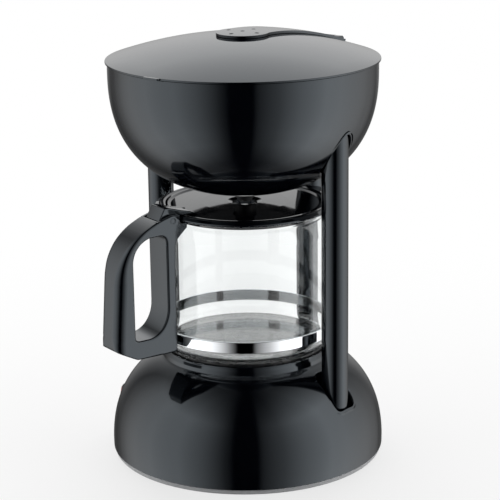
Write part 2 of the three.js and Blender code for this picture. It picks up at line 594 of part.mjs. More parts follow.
// The collar closes round the neck of the glass; it slopes in to the ledge that carries the jug's lid.
function makeCollar() {
  const { inner, outer, bottom, ledge, top, seat } = collar;
  const ring = turned([[inner, bottom], [outer - 1.1, bottom + 0.7], [outer, bottom + 1.6],
    [outer - 0.2, bottom + 2.2], [seat + 0.7, top], [seat, top], [seat, ledge], [inner, ledge]], smooth);
  const lip = raised(polygon([[seat, -12], [66, -11], [71.5, -3], [71.5, 3], [66, 11], [seat, 12]]),
    bottom + 0.6, top - 0.2).rotateZ(Math.PI);
  const bore = join(rod(inner, bottom - 5, ledge, smooth), rod(seat, ledge - 0.01, top + 5, smooth));
  addPiece('jug_collar', cut(join(ring, lip), bore), finishes.glossBlack, jug);
}

function handleOutline() {
  const outline = new THREE.Shape();
  outline.moveTo(61.4, 187.2);
  outline.lineTo(61.4, 182.8);
  outline.lineTo(64, 179.4);
  outline.quadraticCurveTo(68.8, 175, 69.6, 169);
  outline.lineTo(69.6, 92.4);
  outline.lineTo(70.7, 91.3);
  outline.lineTo(103.7, 91.6);
  outline.lineTo(120.2, 100.2);
  outline.lineTo(121.2, 102);
  outline.lineTo(118.6, 145);
  outline.bezierCurveTo(117.9, 164, 112, 176.5, 97, 182.4);
  outline.quadraticCurveTo(90, 187.4, 83, 190.6);
  outline.lineTo(72, 193.5);
  outline.lineTo(65.4, 193.5);
  const grip = new THREE.Path();
  grip.moveTo(102, 105.4);
  grip.quadraticCurveTo(104.6, 106, 104.7, 109);
  grip.lineTo(104.9, 163);
  grip.bezierCurveTo(104.6, 171, 100, 177.6, 91, 180);
  grip.lineTo(82, 180.2);
  grip.quadraticCurveTo(77, 179.8, 76.9, 173.5);
  grip.lineTo(76.7, 125);
  grip.bezierCurveTo(77.5, 113, 85, 105.6, 94, 105.3);
  outline.holes.push(grip);
  return outline;
}

const pinHole = (reach) => rod(jugPin.radius + jugPin.clearance, -reach, reach, 12).rotateX(Math.PI / 2)
  .translate(jugPin.r, 0, jugPin.z);

// The handle's top carries two cheeks; the lever of the jug's lid turns on a pin between them.
function makeHandle() {
  const { halfWidth, bevel } = handle;
  const { r, head, headTop, shank, bottom, top } = lugScrew;
  const body = sideCut(handleOutline(), halfWidth, bevel);
  const collarSpace = rod(collar.outer + gap, collar.bottom - gap, 210, smooth);
  const slotHalf = lever.halfWidth + gap;
  const slot = box(55, lever.slotEnd, -slotHalf, slotHalf, lever.slotFloor, 210);
  const lugHalf = bandLug.halfWidth + gap;
  const lugSlot = box(60, bandLug.end + gap, -lugHalf, lugHalf, bandLug.bottom - gap, bandLug.top + gap);
  const screwHole = rod(shank + 0.5, headTop, top + 1, 10).translate(r, 0, 0);
  const headHole = rod(head + 0.4, 85, headTop + 0.7, 12).translate(r, 0, 0);
  addPiece('jug_handle', cut(body, collarSpace, slot, pinHole(halfWidth + 5), lugSlot, screwHole, headHole),
    finishes.glossBlack, jug);
  addPiece('jug_handle_screw', turned([[0, bottom], [head, bottom], [head, headTop], [shank, headTop],
    [shank, top - 1], [0, top]], small), finishes.steel, jug).position.set(r, 0, 0);
  addPiece('jug_lid_pin', rod(jugPin.radius, -halfWidth + 1, halfWidth - 1, 12).rotateX(Math.PI / 2),
    finishes.steel, jug).position.set(jugPin.r, 0, jugPin.z);
}

// A shallow dish with a drip hole. Its lever rises from the dish to the thumb rest beyond the pin.
function makeJugLid() {
  const { radius, top, rim, hole, skirt, skirtBottom } = jugLid;
  const under = top - rim;
  const thick = 2;
  const disc = turned([[hole, top - 3.2], [skirt - thick, under - 0.7], [skirt - thick, skirtBottom],
    [skirt, skirtBottom], [skirt, under], [radius, under], [radius, top - 0.6], [radius - 0.6, top],
    [radius - 3, top], [radius - 4.2, top - 0.5], [hole, top - 1.2]], smooth);
  const { halfWidth, from, crest, tip } = lever;
  const over = collar.top + gap + 0.1;
  const profile = polygon([[from, under], [from, top + 0.4], [72, crest - 0.2], [76, crest], [tip, 190],
    [79.4, 187.2], [74.8, 185.4], [67.4, 185.4], [67.4, over], [radius - 1.2, over], [radius - 1.2, under]]);
  addPiece('jug_lid', cut(join(disc, sideCut(profile, halfWidth)), pinHole(halfWidth + 5)),
    finishes.glossBlack, jug);
}

makeBasePlate();
makeFeet();
makeBaseScrews();
makeBaseShell();
makeSwitch();
makeGland();
makeWarmingPlate();
makeHeater();
makePlumbing();
makeWiring();
makePosts();
makeTubes();
makeHousing();
makeTank();
makeBasket();
makeDripStop();
makeLid();
makeLidHinge();
makeLidDuct();
makeVent();
makeGlass();
makeBand();
makeCollar();
makeHandle();
makeJugLid();

export default model;
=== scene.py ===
import json
import math
import bmesh
import bpy
import numpy as np
from mathutils import Matrix, Vector


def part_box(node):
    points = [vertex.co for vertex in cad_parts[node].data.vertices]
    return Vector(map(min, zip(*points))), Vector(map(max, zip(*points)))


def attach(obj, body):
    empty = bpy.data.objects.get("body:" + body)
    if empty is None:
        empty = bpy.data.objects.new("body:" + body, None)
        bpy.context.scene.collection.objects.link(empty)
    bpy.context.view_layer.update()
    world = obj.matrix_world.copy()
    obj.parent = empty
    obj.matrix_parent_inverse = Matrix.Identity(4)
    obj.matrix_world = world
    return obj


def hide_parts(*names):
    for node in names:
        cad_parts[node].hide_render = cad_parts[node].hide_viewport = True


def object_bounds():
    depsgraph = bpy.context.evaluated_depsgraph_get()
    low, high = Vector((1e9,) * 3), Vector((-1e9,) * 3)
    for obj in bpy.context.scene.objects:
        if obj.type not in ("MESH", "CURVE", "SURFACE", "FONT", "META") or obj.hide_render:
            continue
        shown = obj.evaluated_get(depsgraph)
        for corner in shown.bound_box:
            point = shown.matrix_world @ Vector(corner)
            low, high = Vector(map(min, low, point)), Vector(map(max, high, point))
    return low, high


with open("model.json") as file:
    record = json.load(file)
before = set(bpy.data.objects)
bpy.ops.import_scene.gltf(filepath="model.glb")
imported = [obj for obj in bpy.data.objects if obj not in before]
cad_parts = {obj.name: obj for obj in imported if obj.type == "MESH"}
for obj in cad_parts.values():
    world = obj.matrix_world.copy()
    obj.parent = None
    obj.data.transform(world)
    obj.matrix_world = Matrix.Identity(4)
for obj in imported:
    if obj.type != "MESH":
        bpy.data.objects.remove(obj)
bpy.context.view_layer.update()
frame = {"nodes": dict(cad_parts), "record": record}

# Sizes below are in millimetres. Heights and radii that the frame knows are read from it.
mm = 0.001


def top(node):
    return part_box(node)[1].z / mm


def bottom(node):
    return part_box(node)[0].z / mm


def widest(node):
    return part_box(node)[1].x / mm


shells = {
    "dome": {"radius": widest("base_shell"), "height": 83.5, "centre": 5.0, "power": 2.4, "up": 1},
    "bowl": {"radius": widest("bowl_housing"), "height": 90.0, "centre": 290.3, "power": 2.4, "up": -1},
    "bowlFloor": bottom("bowl_housing"),
}


# height of a shell at a radius: (r / R)^p + (h / H)^p = 1, with the shell drawn in by inset
def shellHeight(shell, radius, inset=0.0):
    inside = 1 - (np.asarray(radius, float) / (shell["radius"] - inset)) ** shell["power"]
    rise = np.clip(inside, 0, None) ** (1 / shell["power"])
    return shell["centre"] + shell["up"] * (shell["height"] - inset) * rise


# rows of (r, z) along a shell between two radii, at even steps of arc length
def shellRows(shell, fromRadius, toRadius, rows, inset=0.0):
    angle = np.linspace(0, np.pi / 2, 800)
    r = (shell["radius"] - inset) * np.cos(angle) ** (2 / shell["power"])
    z = shell["centre"] + shell["up"] * (shell["height"] - inset) * np.sin(angle) ** (2 / shell["power"])
    inside = (r <= max(fromRadius, toRadius) + 1e-9) & (r >= min(fromRadius, toRadius) - 1e-9)
    line = resample(np.column_stack([r[inside], z[inside]]), rows)
    return line if fromRadius > toRadius else line[::-1]


# an open line, resampled at even steps of its length
def resample(line, count):
    length = np.concatenate([[0], np.cumsum(np.linalg.norm(np.diff(line, axis=0), axis=1))])
    at = np.linspace(0, length[-1], count)
    return np.column_stack([np.interp(at, length, line[:, k]) for k in range(line.shape[1])])


# each corner (a, b, radius) becomes a curve that leaves one side and joins the next at that radius,
# with one more point just outside it, which keeps the flat beside it flat when shaded smooth
def softOutline(corners, closed=True, steps=5):
    points = [np.array(c[:2], float) for c in corners]
    radii = [c[2] if len(c) > 2 else 0.0 for c in corners]
    line = []
    for k, (point, radius) in enumerate(zip(points, radii)):
        ends = not closed and k in (0, len(points) - 1)
        if radius <= 0 or ends:
            line.append(point)
            continue
        before, after = points[k - 1] - point, points[(k + 1) % len(points)] - point
        room = 0.46 * min(np.linalg.norm(before), np.linalg.norm(after))
        before, after = before / np.linalg.norm(before), after / np.linalg.norm(after)
        half = 0.5 * np.arccos(np.clip(before @ after, -1, 1))
        reach = min(radius / max(np.tan(half), 1e-3), room)
        line.append(point + before * reach * 1.08)
        for t in np.linspace(0, 1, steps):
            line.append(point + before * reach * (1 - t) ** 2 + after * reach * t ** 2)
        line.append(point + after * reach * 1.08)
    return np.array(line)


# a mesh from points in millimetres and arrays of faces, one row of corner numbers for each face
def makeMesh(name, points, faces, sharp=35.0):
    mesh = bpy.data.meshes.new(name)
    points = np.asarray(points, float).reshape(-1, 3) * mm
    faces = [np.asarray(f).reshape(-1, np.asarray(f).shape[-1]) for f in faces]
    sizes = np.concatenate([np.full(len(f), f.shape[1]) for f in faces])
    corners = np.concatenate([f.ravel() for f in faces]).astype(np.int32)
    mesh.vertices.add(len(points))
    mesh.vertices.foreach_set("co", points.ravel())
    mesh.loops.add(len(corners))
    mesh.loops.foreach_set("vertex_index", corners)
    mesh.polygons.add(len(sizes))
    mesh.polygons.foreach_set("loop_start", np.concatenate([[0], np.cumsum(sizes)[:-1]]).astype(np.int32))
    mesh.update(calc_edges=True)
    work = bmesh.new()
    work.from_mesh(mesh)
    bmesh.ops.remove_doubles(work, verts=work.verts, dist=1e-6)
    bmesh.ops.dissolve_degenerate(work, edges=work.edges, dist=1e-7)
    work.to_mesh(mesh)
    work.free()
    mesh.validate()
    smooth(mesh, sharp)
    piece = bpy.data.objects.new(name, mesh)
    bpy.context.scene.collection.objects.link(piece)
    return piece


def smooth(mesh, sharp):
    mesh.shade_smooth()
    mesh.set_sharp_from_angle(angle=math.radians(sharp))


# a wall laid inside an open surface, then made part of its mesh
def thicken(piece, wall, sharp=35.0):
    modifier = piece.modifiers.new("wall", "SOLIDIFY")
    modifier.thickness = wall * mm
    modifier.offset = -1
    modifier.use_even_offset = True
    bpy.context.view_layer.update()
    whole = bpy.data.meshes.new_from_object(piece.evaluated_get(bpy.context.evaluated_depsgraph_get()))
    piece.modifiers.clear()
    piece.data = whole
    smooth(whole, sharp)
    return piece


# a grid of quads between the rows and columns of a numbered array
def quads(index):
    return np.stack([index[:-1, :-1], index[:-1, 1:], index[1:, 1:], index[1:, :-1]], axis=-1)


# rows of (r, z) carried round the axis: x = r cos t, y = r sin t
def turnedGrid(rows, count, start=0.0):
    angle = start + np.arange(count) * 2 * np.pi / count
    r, z = rows[:, :1], rows[:, 1:2]
    return np.stack([r * np.cos(angle), r * np.sin(angle), z + 0 * angle], axis=-1)


# a mesh over a grid of points whose columns close round; place turns the points into x, y, z
def gridMesh(name, grid, place=None, sharp=35.0, outwards=True):
    grid = np.concatenate([grid, grid[:, :1]], axis=1)
    index = np.arange(grid.shape[0] * grid.shape[1]).reshape(grid.shape[:2])
    points = grid.reshape(-1, 3)
    piece = makeMesh(name, points if place is None else place(points), [quads(index)], sharp)
    if outwards:
        facesOut(piece.data)
    return piece


def facesOut(mesh):
    work = bmesh.new()
    work.from_mesh(mesh)
    bmesh.ops.recalc_face_normals(work, faces=work.faces)
    work.to_mesh(mesh)
    work.free()


def placed(matrix, points):
    return points @ np.array(matrix.to_3x3()).T + np.array(matrix.translation)


# a closed ring section, or a solid whose rows start and end on the axis
def turned(name, rows, closed=True, count=160, at=(0, 0), turn=None):
    rows = np.vstack([rows, rows[:1]]) if closed else np.asarray(rows, float)
    area = np.sum(rows[:-1, 0] * rows[1:, 1] - rows[1:, 0] * rows[:-1, 1])
    grid = turnedGrid(rows if area > 0 else rows[::-1], count) + np.array([at[0], at[1], 0])
    place = None if turn is None else lambda points: placed(turn, points)
    return gridMesh(name, grid, place, outwards=False)


# Holes in a grid. A block of cells is left out, rings run from the block's edge to the hole's, and the
# throat carries them on: (radius, drop below the surface, or None, level). A hole with halves is a
# rounded rectangle, rho = (|cos a / p|^n + |sin a / q|^n)^(-1/n), and its radii are added to p and q.
def holedMesh(name, grid, holes, lift, wrap=False, sharp=35.0):
    rows, columns = grid.shape[:2]
    index = np.arange(rows * columns).reshape(rows, columns)
    around = np.concatenate([index, index[:, :1]], axis=1) if wrap else index
    cells = quads(around)
    keep = np.ones(cells.shape[:2], bool)
    points, faces, used = [grid.reshape(-1, 3)], [], rows * columns
    for hole in holes:
        i0, i1, j0, j1 = hole["block"]
        keep[i0:i1, j0:j1] = False
        loop = np.concatenate([index[i0, j0:j1], index[i0:i1, j1], index[i1, j1:j0:-1], index[i1:i0:-1, j0]])
        centre = np.array(hole["centre"], float)
        away = grid.reshape(-1, 3)[loop, :2] - centre
        reach = np.linalg.norm(away, axis=1, keepdims=True)
        away = away / reach
        outline = holeOutline(hole, away)
        edge = outline(hole["throat"][0][0])
        rings = []
        for part in np.linspace(0, 1, hole.get("rings", 5))[1:]:
            flat = centre + away * (reach * (1 - part) + edge * part)
            rings.append(np.column_stack([flat, lift(flat)]))
        brink = rings[-1][:, 2]
        for radius, drop, level in hole["throat"][1:]:
            flat = centre + away * outline(radius)
            z = brink - drop if level is None else np.full(len(brink), float(level))
            rings.append(np.column_stack([flat, z]))
        before = loop
        for ring in rings:
            now = used + np.arange(len(ring))
            used += len(ring)
            points.append(ring)
            faces.append(np.stack([before, np.roll(before, -1), np.roll(now, -1), now], axis=-1))
            before = now
    faces.append(cells[keep])
    return makeMesh(name, np.concatenate(points), faces, sharp)


def holeOutline(hole, away):
    if "halves" not in hole:
        return lambda radius: radius
    along, aside, power, azimuth = hole["halves"]
    angle = np.arctan2(away[:, 1], away[:, 0]) - math.radians(azimuth)
    cosine, sine = np.abs(np.cos(angle)), np.abs(np.sin(angle))
    return lambda grow: (((cosine / (along + grow)) ** power + (sine / (aside + grow)) ** power)
                         ** (-1 / power))[:, None]


# the inward normal at each point of a closed outline
def inwardNormals(outline):
    along = np.roll(outline, -1, axis=0) - np.roll(outline, 1, axis=0)
    along /= np.linalg.norm(along, axis=1, keepdims=True) + 1e-12
    turn = np.sum(outline[:, 0] * np.roll(outline[:, 1], -1) - np.roll(outline[:, 0], -1) * outline[:, 1])
    inward = np.column_stack([-along[:, 1], along[:, 0]])
    return inward if turn > 0 else -inward


# An outline (a, b) given a thickness: rings step in by s (1 - cos q) and out to h - s (1 - sin q)
# round both edges, and both ends close on the middle. place turns (a, t, b) into x, y, z.
def prism(name, outline, low, high, edge, place, sharp=35.0, middle=None):
    inward = inwardNormals(outline)
    middle = outline.mean(axis=0) if middle is None else np.array(middle)
    quarter = np.linspace(0, np.pi / 2, 5)
    rings = [(outline * 0 + middle, low)]
    rings += [(outline + inward * (edge * 1.35), low)]
    rings += [(outline + inward * edge * (1 - np.sin(q)), low + edge * (1 - np.cos(q))) for q in quarter]
    rings += [(outline + inward * edge * (1 - np.cos(q)), high - edge * (1 - np.sin(q))) for q in quarter]
    rings += [(outline + inward * (edge * 1.35), high)]
    rings += [(outline * 0 + middle, high)]
    grid = np.stack([np.column_stack([flat[:, 0], np.full(len(flat), t), flat[:, 1]]) for flat, t in rings])
    return gridMesh(name, grid, place, sharp)


# two ways to lay a prism: on edge, with its outline in the plane x = 0, or flat, with its outline in plan
def onEdge(points):
    return points[:, [1, 0, 2]]


def laidFlat(points):
    return points[:, [0, 2, 1]]


# a round bar along a line of points; its circle keeps to the line by parallel transport
def bar(name, line, radius, sides=16):
    ahead = np.gradient(line, axis=0)
    ahead /= np.linalg.norm(ahead, axis=1, keepdims=True)
    side = np.zeros_like(line)
    side[0] = np.cross(ahead[0], [0.3, 0.5, 0.8])
    side[0] /= np.linalg.norm(side[0])
    for k in range(1, len(line)):
        side[k] = side[k - 1] - ahead[k] * (side[k - 1] @ ahead[k])
        side[k] /= np.linalg.norm(side[k])
    across = np.cross(ahead, side)
    angle = np.linspace(0, 2 * np.pi, sides + 1)[:-1]
    ring = np.cos(angle)[None, :, None] * side[:, None] + np.sin(angle)[None, :, None] * across[:, None]
    grid = line[:, None] + radius * ring
    first, last = (np.repeat(end[None, None], sides, axis=1) for end in (line[0], line[-1]))
    return gridMesh(name, np.concatenate([first, grid, last]))


def finishPiece(piece, body, material, slot, *replaced):
    piece.data.materials.clear()
    piece.data.materials.append(material)
    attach(piece, body)
    if replaced:
        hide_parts(*replaced)
    return piece


def linearColour(code):
    parts = [int(code[k:k + 2], 16) / 255 for k in (1, 3, 5)]
    return tuple(c / 12.92 if c <= 0.04045 else ((c + 0.055) / 1.055) ** 2.4 for c in parts) + (1.0,)


# a node with its settings and its links, each from a socket or from another node's first output
def addNode(tree, kind, settings=None, links=None):
    node = tree.nodes.new(kind)
    for key, value in (settings or {}).items():
        if isinstance(key, str) and key not in node.inputs:
            setattr(node, key, value)
        else:
            node.inputs[key].default_value = value
    for socket, source in (links or {}).items():
        first = isinstance(source, bpy.types.Node)
        tree.links.new(source.outputs[0] if first else source, node.inputs[socket])
    return node


def newMaterial(name):
    material = bpy.data.materials.new(name)
    material.use_nodes = True
    tree = material.node_tree
    tree.nodes.clear()
    return material, tree, addNode(tree, "ShaderNodeTexCoord").outputs["Object"]


# every finish ends alike, with its colour, roughness and relief joined to the shader
def closeMaterial(tree, settings, colour, dull, relief):
    shader = addNode(tree, "ShaderNodeBsdfPrincipled", settings,
                     {"Base Color": colour, "Roughness": dull, "Normal": relief})
    addNode(tree, "ShaderNodeOutputMaterial", None, {"Surface": shader})


# moulded from a spark-eroded tool: an even fine grain of about 0.45 mm breaks up the highlight
satin = {"clouds": [(6, 4.0), (0.45, 2.0)], "rough": (0.38, 0.55), "grained": True, "relief": (0.6, 0.05),
         "shader": {"IOR": 1.49}}
# short drawing marks in a bright grey metal
drawn = {"relief": (0.5, 0.02), "shader": {"Metallic": 1.0}}

# Clouds of noise are (size in mm, detail): the first mixes the two colours and spreads the roughness,
# and the last lifts the relief, given as (strength, depth in mm). Grained finishes take their
# roughness from the last one too.
cloudFinishes = {
    "satinPolypropylene": {**satin, "colours": ("#141517", "#1d1e20")},
    "paleAbs": {**satin, "colours": ("#b9babc", "#c9cacc")},
    "nylonTerminal": {**satin, "colours": ("#c9c7bf", "#dad8d1")},
    "zincPlatedSteel": {**drawn, "colours": ("#8b8d8f", "#babcbe"), "clouds": [(0.7, 4.0)],
                        "rough": (0.25, 0.42)},
    # paler and softer than the steel
    "extrudedAluminium": {**drawn, "colours": ("#9b9ea0", "#cdcfd0"), "clouds": [(1.6, 4.0)],
                          "rough": (0.32, 0.5)},
    # chrome-plated steel strip, rolled and polished: a mirror with faint lines 0.5 mm apart round the band
    "chromePlate": {"colours": ("#d3d6d9", "#e9ebee"), "clouds": [(20, 3.0)], "stretch": (1, 1, 40),
                    "rough": (0.03, 0.08), "relief": (0.4, 0.01), "shader": {"Metallic": 1.0}},
    # borosilicate glass, blown in a turned mould: clear, with a very weak waviness in its wall
    "borosilicateGlass": {"colours": ("#f9fbfb", "#fdfefe"), "clouds": [(30, 1.0)], "rough": (0.0, 0.012),
                          "relief": (0.2, 0.06), "shader": {"IOR": 1.47, "Transmission Weight": 1.0}},
    # moulded nitrile rubber: dull, dusty black with a fine tooth of 0.4 mm
    "mouldedRubber": {"colours": ("#101010", "#262625"), "clouds": [(3, 5.0), (0.4, 2.0)],
                      "rough": (0.65, 0.85),
                      "relief": (0.6, 0.05), "shader": {"IOR": 1.52, "Specular IOR Level": 0.3}},
    # food-grade silicone tube: milky, slightly soft to light
    "milkySilicone": {"colours": ("#cbc8c0", "#e4e2dc"), "clouds": [(5, 3.0), (0.9, 2.0)],
                      "rough": (0.35, 0.55),
                      "relief": (0.4, 0.02), "shader": {"IOR": 1.41, "Transmission Weight": 0.25}},
    # glossy moulded polycarbonate: red with a slight depth
    "redPolycarbonate": {"colours": ("#961812", "#bb261c"), "clouds": [(4, 3.0), (8, 1.0)],
                         "rough": (0.14, 0.24),
                         "relief": (0.4, 0.02), "shader": {"IOR": 1.58, "Coat Weight": 0.3}},
}


def cloudFinish(name):
    m = cloudFinishes[name]
    material, tree, where = newMaterial(name)
    if "stretch" in m:
        where = addNode(tree, "ShaderNodeMapping", {"Scale": m["stretch"]}, {"Vector": where})
    clouds = [addNode(tree, "ShaderNodeTexNoise", {"Scale": 1 / (size * mm), "Detail": detail},
                      {"Vector": where}) for size, detail in m["clouds"]]
    dark, light = (linearColour(code) for code in m["colours"])
    colour = addNode(tree, "ShaderNodeMix", {"data_type": "RGBA", 6: dark, 7: light}, {0: clouds[0]})
    dull = addNode(tree, "ShaderNodeMapRange",
                   {"From Min": 0.3, "From Max": 0.7, "To Min": m["rough"][0], "To Max": m["rough"][1]},
                   {"Value": clouds[-1 if m.get("grained") else 0]})
    strength, depth = m["relief"]
    relief = addNode(tree, "ShaderNodeBump", {"Strength": strength, "Distance": depth * mm},
                     {"Height": clouds[-1]})
    closeMaterial(tree, m["shader"], colour.outputs[2], dull, relief)
    return material


# High-gloss ABS, injection moulded in a polished tool: deep black, a clean mirror reflection with a
# very slight flow ripple, and a little handling haze. The jug's lid is polypropylene, whose shine is
# weaker.
def glossPlastic(name, ior, shine):
    material, tree, where = newMaterial(name)
    haze, fine, flow = (addNode(tree, "ShaderNodeTexNoise", {"Scale": 1 / (size * mm), "Detail": detail},
                                {"Vector": where}) for size, detail in ((14, 5.0), (1.1, 4.0), (24, 1.0)))
    both = addNode(tree, "ShaderNodeMath", {"operation": "MULTIPLY"}, {0: haze, 1: fine})
    dull = addNode(tree, "ShaderNodeMapRange",
                   {"From Min": 0.15, "From Max": 0.4, "To Min": 0.05, "To Max": 0.1}, {"Value": both})
    colour = addNode(tree, "ShaderNodeMix",
                     {"data_type": "RGBA", 6: linearColour("#030409"), 7: linearColour("#07090e")}, {0: haze})
    relief = addNode(tree, "ShaderNodeBump", {"Strength": 0.35, "Distance": 0.04 * mm}, {"Height": flow})
    settings = {"IOR": ior, "Specular IOR Level": shine, "Specular Tint": (0.82, 0.92, 1.0, 1.0)}
    closeMaterial(tree, settings, colour.outputs[2], dull, relief)
    return material


# Non-stick coated steel plate: dark grey with fine pale flakes of 0.8 mm in the lacquer
def nonStickCoating():
    material, tree, where = newMaterial("nonStickCoating")
    flakes = addNode(tree, "ShaderNodeTexVoronoi", {"Scale": 1 / (0.8 * mm)},
                     {"Vector": where}).outputs["Distance"]
    wear = addNode(tree, "ShaderNodeTexNoise", {"Scale": 1 / (9 * mm), "Detail": 4.0}, {"Vector": where})
    fleck = addNode(tree, "ShaderNodeMapRange",
                    {"From Min": 0.05, "From Max": 0.22, "To Min": 0.6, "To Max": 0.0}, {"Value": flakes})
    colour = addNode(tree, "ShaderNodeMix",
                     {"data_type": "RGBA", 6: linearColour("#1b1c1e"), 7: linearColour("#54575a")},
                     {0: fleck})
    dull = addNode(tree, "ShaderNodeMapRange",
                   {"From Min": 0.3, "From Max": 0.7, "To Min": 0.2, "To Max": 0.34}, {"Value": wear})
    relief = addNode(tree, "ShaderNodeBump", {"Strength": 0.5, "Distance": 0.03 * mm}, {"Height": flakes})
    settings = {"IOR": 1.5, "Specular IOR Level": 0.3}
    closeMaterial(tree, settings, colour.outputs[2], dull, relief)
    return material


# Titanium-coloured woven filter cloth: threads of 0.5 mm, coarser than the real 0.2 mm so that they show
def wovenMesh():
    material, tree, where = newMaterial("wovenMesh")
    wave = {"wave_type": "BANDS", "Scale": 1 / (0.5 * mm) / 6.3, "Distortion": 0.0}
    upright, across = (addNode(tree, "ShaderNodeTexWave", {**wave, "bands_direction": axis},
                               {"Vector": where}).outputs["Fac"] for axis in "ZX")
    weave = addNode(tree, "ShaderNodeMath", {"operation": "MULTIPLY"}, {0: upright, 1: across})
    colour = addNode(tree, "ShaderNodeMix",
                     {"data_type": "RGBA", 6: linearColour("#6a5528"), 7: linearColour("#c9a65a")},
                     {0: weave})
    dull = addNode(tree, "ShaderNodeMapRange", {"To Min": 0.3, "To Max": 0.5}, {"Value": weave})
    relief = addNode(tree, "ShaderNodeBump", {"Strength": 0.8, "Distance": 0.15 * mm}, {"Height": weave})
    closeMaterial(tree, {"Metallic": 0.9}, colour.outputs[2], dull, relief)
    return material


finishes = {
    "gloss_black": glossPlastic("glossAbs", 1.53, 0.5),
    "satin_black": cloudFinish("satinPolypropylene"),
    "pale_plastic": cloudFinish("paleAbs"),
    "foot_rubber": cloudFinish("mouldedRubber"),
    "fastener_steel": cloudFinish("zincPlatedSteel"),
    "plate_coating": nonStickCoating(),
    "heater_aluminium": cloudFinish("extrudedAluminium"),
    "hose_silicone": cloudFinish("milkySilicone"),
    "terminal_plastic": cloudFinish("nylonTerminal"),
    "clear_glass": cloudFinish("borosilicateGlass"),
    "band_chrome": cloudFinish("chromePlate"),
    "filter_gold": wovenMesh(),
    "rocker_red": cloudFinish("redPolycarbonate"),
}
glossPolypropylene = glossPlastic("glossPolypropylene", 1.49, 0.2)


def add(piece, body, slot, *replaced):
    return finishPiece(piece, body, finishes[slot], slot, *replaced)


for part in frame["record"]["subparts"]:
    node = frame["nodes"][part["node"]]
    node.data.materials.clear()
    node.data.materials.append(finishes[part["material_slot"]])
print("materials made:", len(finishes))


# a long lens in front and to the right: where it stands, its heading in plan, and degrees down and of roll
camera = {
    "place": (809.3, -1017.4, 521.0), "heading": (-0.6225, 0.7826), "down": 15.79, "roll": -0.76,
    "lens": 130.46, "sensor": 36.0, "shift": 0.0091,
}


def makeCamera():
    data = bpy.data.cameras.new("camera")
    data.lens, data.sensor_width, data.shift_x = camera["lens"], camera["sensor"], camera["shift"]
    data.clip_end = 50
    seen = bpy.data.objects.new("camera", data)
    bpy.context.scene.collection.objects.link(seen)
    down = math.radians(camera["down"])
    ahead = Vector((*camera["heading"], 0)).normalized() * math.cos(down) - Vector((0, 0, math.sin(down)))
    level = ahead.to_track_quat("-Z", "Y")
    seen.rotation_mode = "QUATERNION"
    seen.rotation_quaternion = level @ Matrix.Rotation(math.radians(camera["roll"]), 3, "Z").to_quaternion()
    seen.location = Vector(camera["place"]) * mm
    bpy.context.scene.camera = seen


makeCamera()


# the grids of base, plate and bowl have so many columns, the first of them at minus 45 degrees
columns = 240
eighth = -math.pi / 4

base = {
    "foot": 3.6, "wall": 2.2, "ringOuter": 63.8, "ringInner": 60.4, "ringStep": 79.2, "ringTop": 82.4,
    "ledge": 76.9, "pocketCircle": 81.2, "pocketDepth": 11.0, "pocketWidth": 11.2, "pocketPower": 5.0,
    "pocketFloor": 43.0,
}


# the rows between two radii, and so many columns on each side of an azimuth
def block(rows, azimuth, side, inner, outer):
    middle = round((azimuth + 45) / 360 * columns)
    inside = np.where((rows[:, 0] >= inner) & (rows[:, 0] <= outer))[0]
    return inside.min(), inside.max(), (middle - side) % columns, (middle + side) % columns


def polar(radius, azimuth):
    return radius * math.cos(math.radians(azimuth)), radius * math.sin(math.radians(azimuth))


def makeBaseShell():
    b, dome = base, shells["dome"]
    curve = shellRows(dome, dome["radius"] - 0.05, b["ringOuter"] + 0.8, 58)
    foot = [(dome["radius"] - 0.7, b["foot"], 0), (dome["radius"] - 0.15, b["foot"] + 0.4, 0)]
    root = curve[-1]
    ring = softOutline([
        (root[0], root[1], 0), (b["ringOuter"], root[1] + 0.6, 0.5),
        (b["ringOuter"] - 0.1, b["ringStep"], 0.4),
        (b["ringOuter"] - 1.3, b["ringTop"] - 1.1, 1.2), (b["ringInner"] + 1.7, b["ringTop"], 1.0),
        (b["ringInner"], b["ringTop"] - 0.4, 0.7), (b["ringInner"], b["ledge"], 0.4), (56.5, b["ledge"], 0)],
        closed=False)
    rows = np.vstack([[f[:2] for f in foot], curve, ring[1:]])
    level = b["pocketFloor"]
    throat = [(0.9, 0, None), (0.42, 0.16, None), (0.12, 0.5, None), (0, 1.1, None), (0, 0, level + 0.9),
              (-0.3, 0, level + 0.2), (-1.0, 0, level), (-4.2, 0, level)]
    onDome = rows[:len(foot) + len(curve)]
    holes = [{"centre": polar(b["pocketCircle"], azimuth), "throat": throat, "rings": 6,
              "halves": (b["pocketDepth"], b["pocketWidth"], b["pocketPower"], azimuth),
              "block": block(onDome, azimuth, 8, 66.6, 98.6)} for azimuth in (0, 90, 180)]
    grid = turnedGrid(rows, columns, eighth)
    lift = lambda flat: shellHeight(dome, np.linalg.norm(flat, axis=1))
    shell = holedMesh("base_shell_skin", grid, holes, lift, wrap=True)
    add(thicken(shell, b["wall"]), "frame", "gloss_black", "base_shell")


plate = {
    "radius": 101.2, "floor": 3.3, "screwCircle": 88, "screws": (45, 165, 285), "footCircle": 86,
    "feet": (0, 90, 180, 270), "footRadius": 8.0, "footTop": 1.2,
}


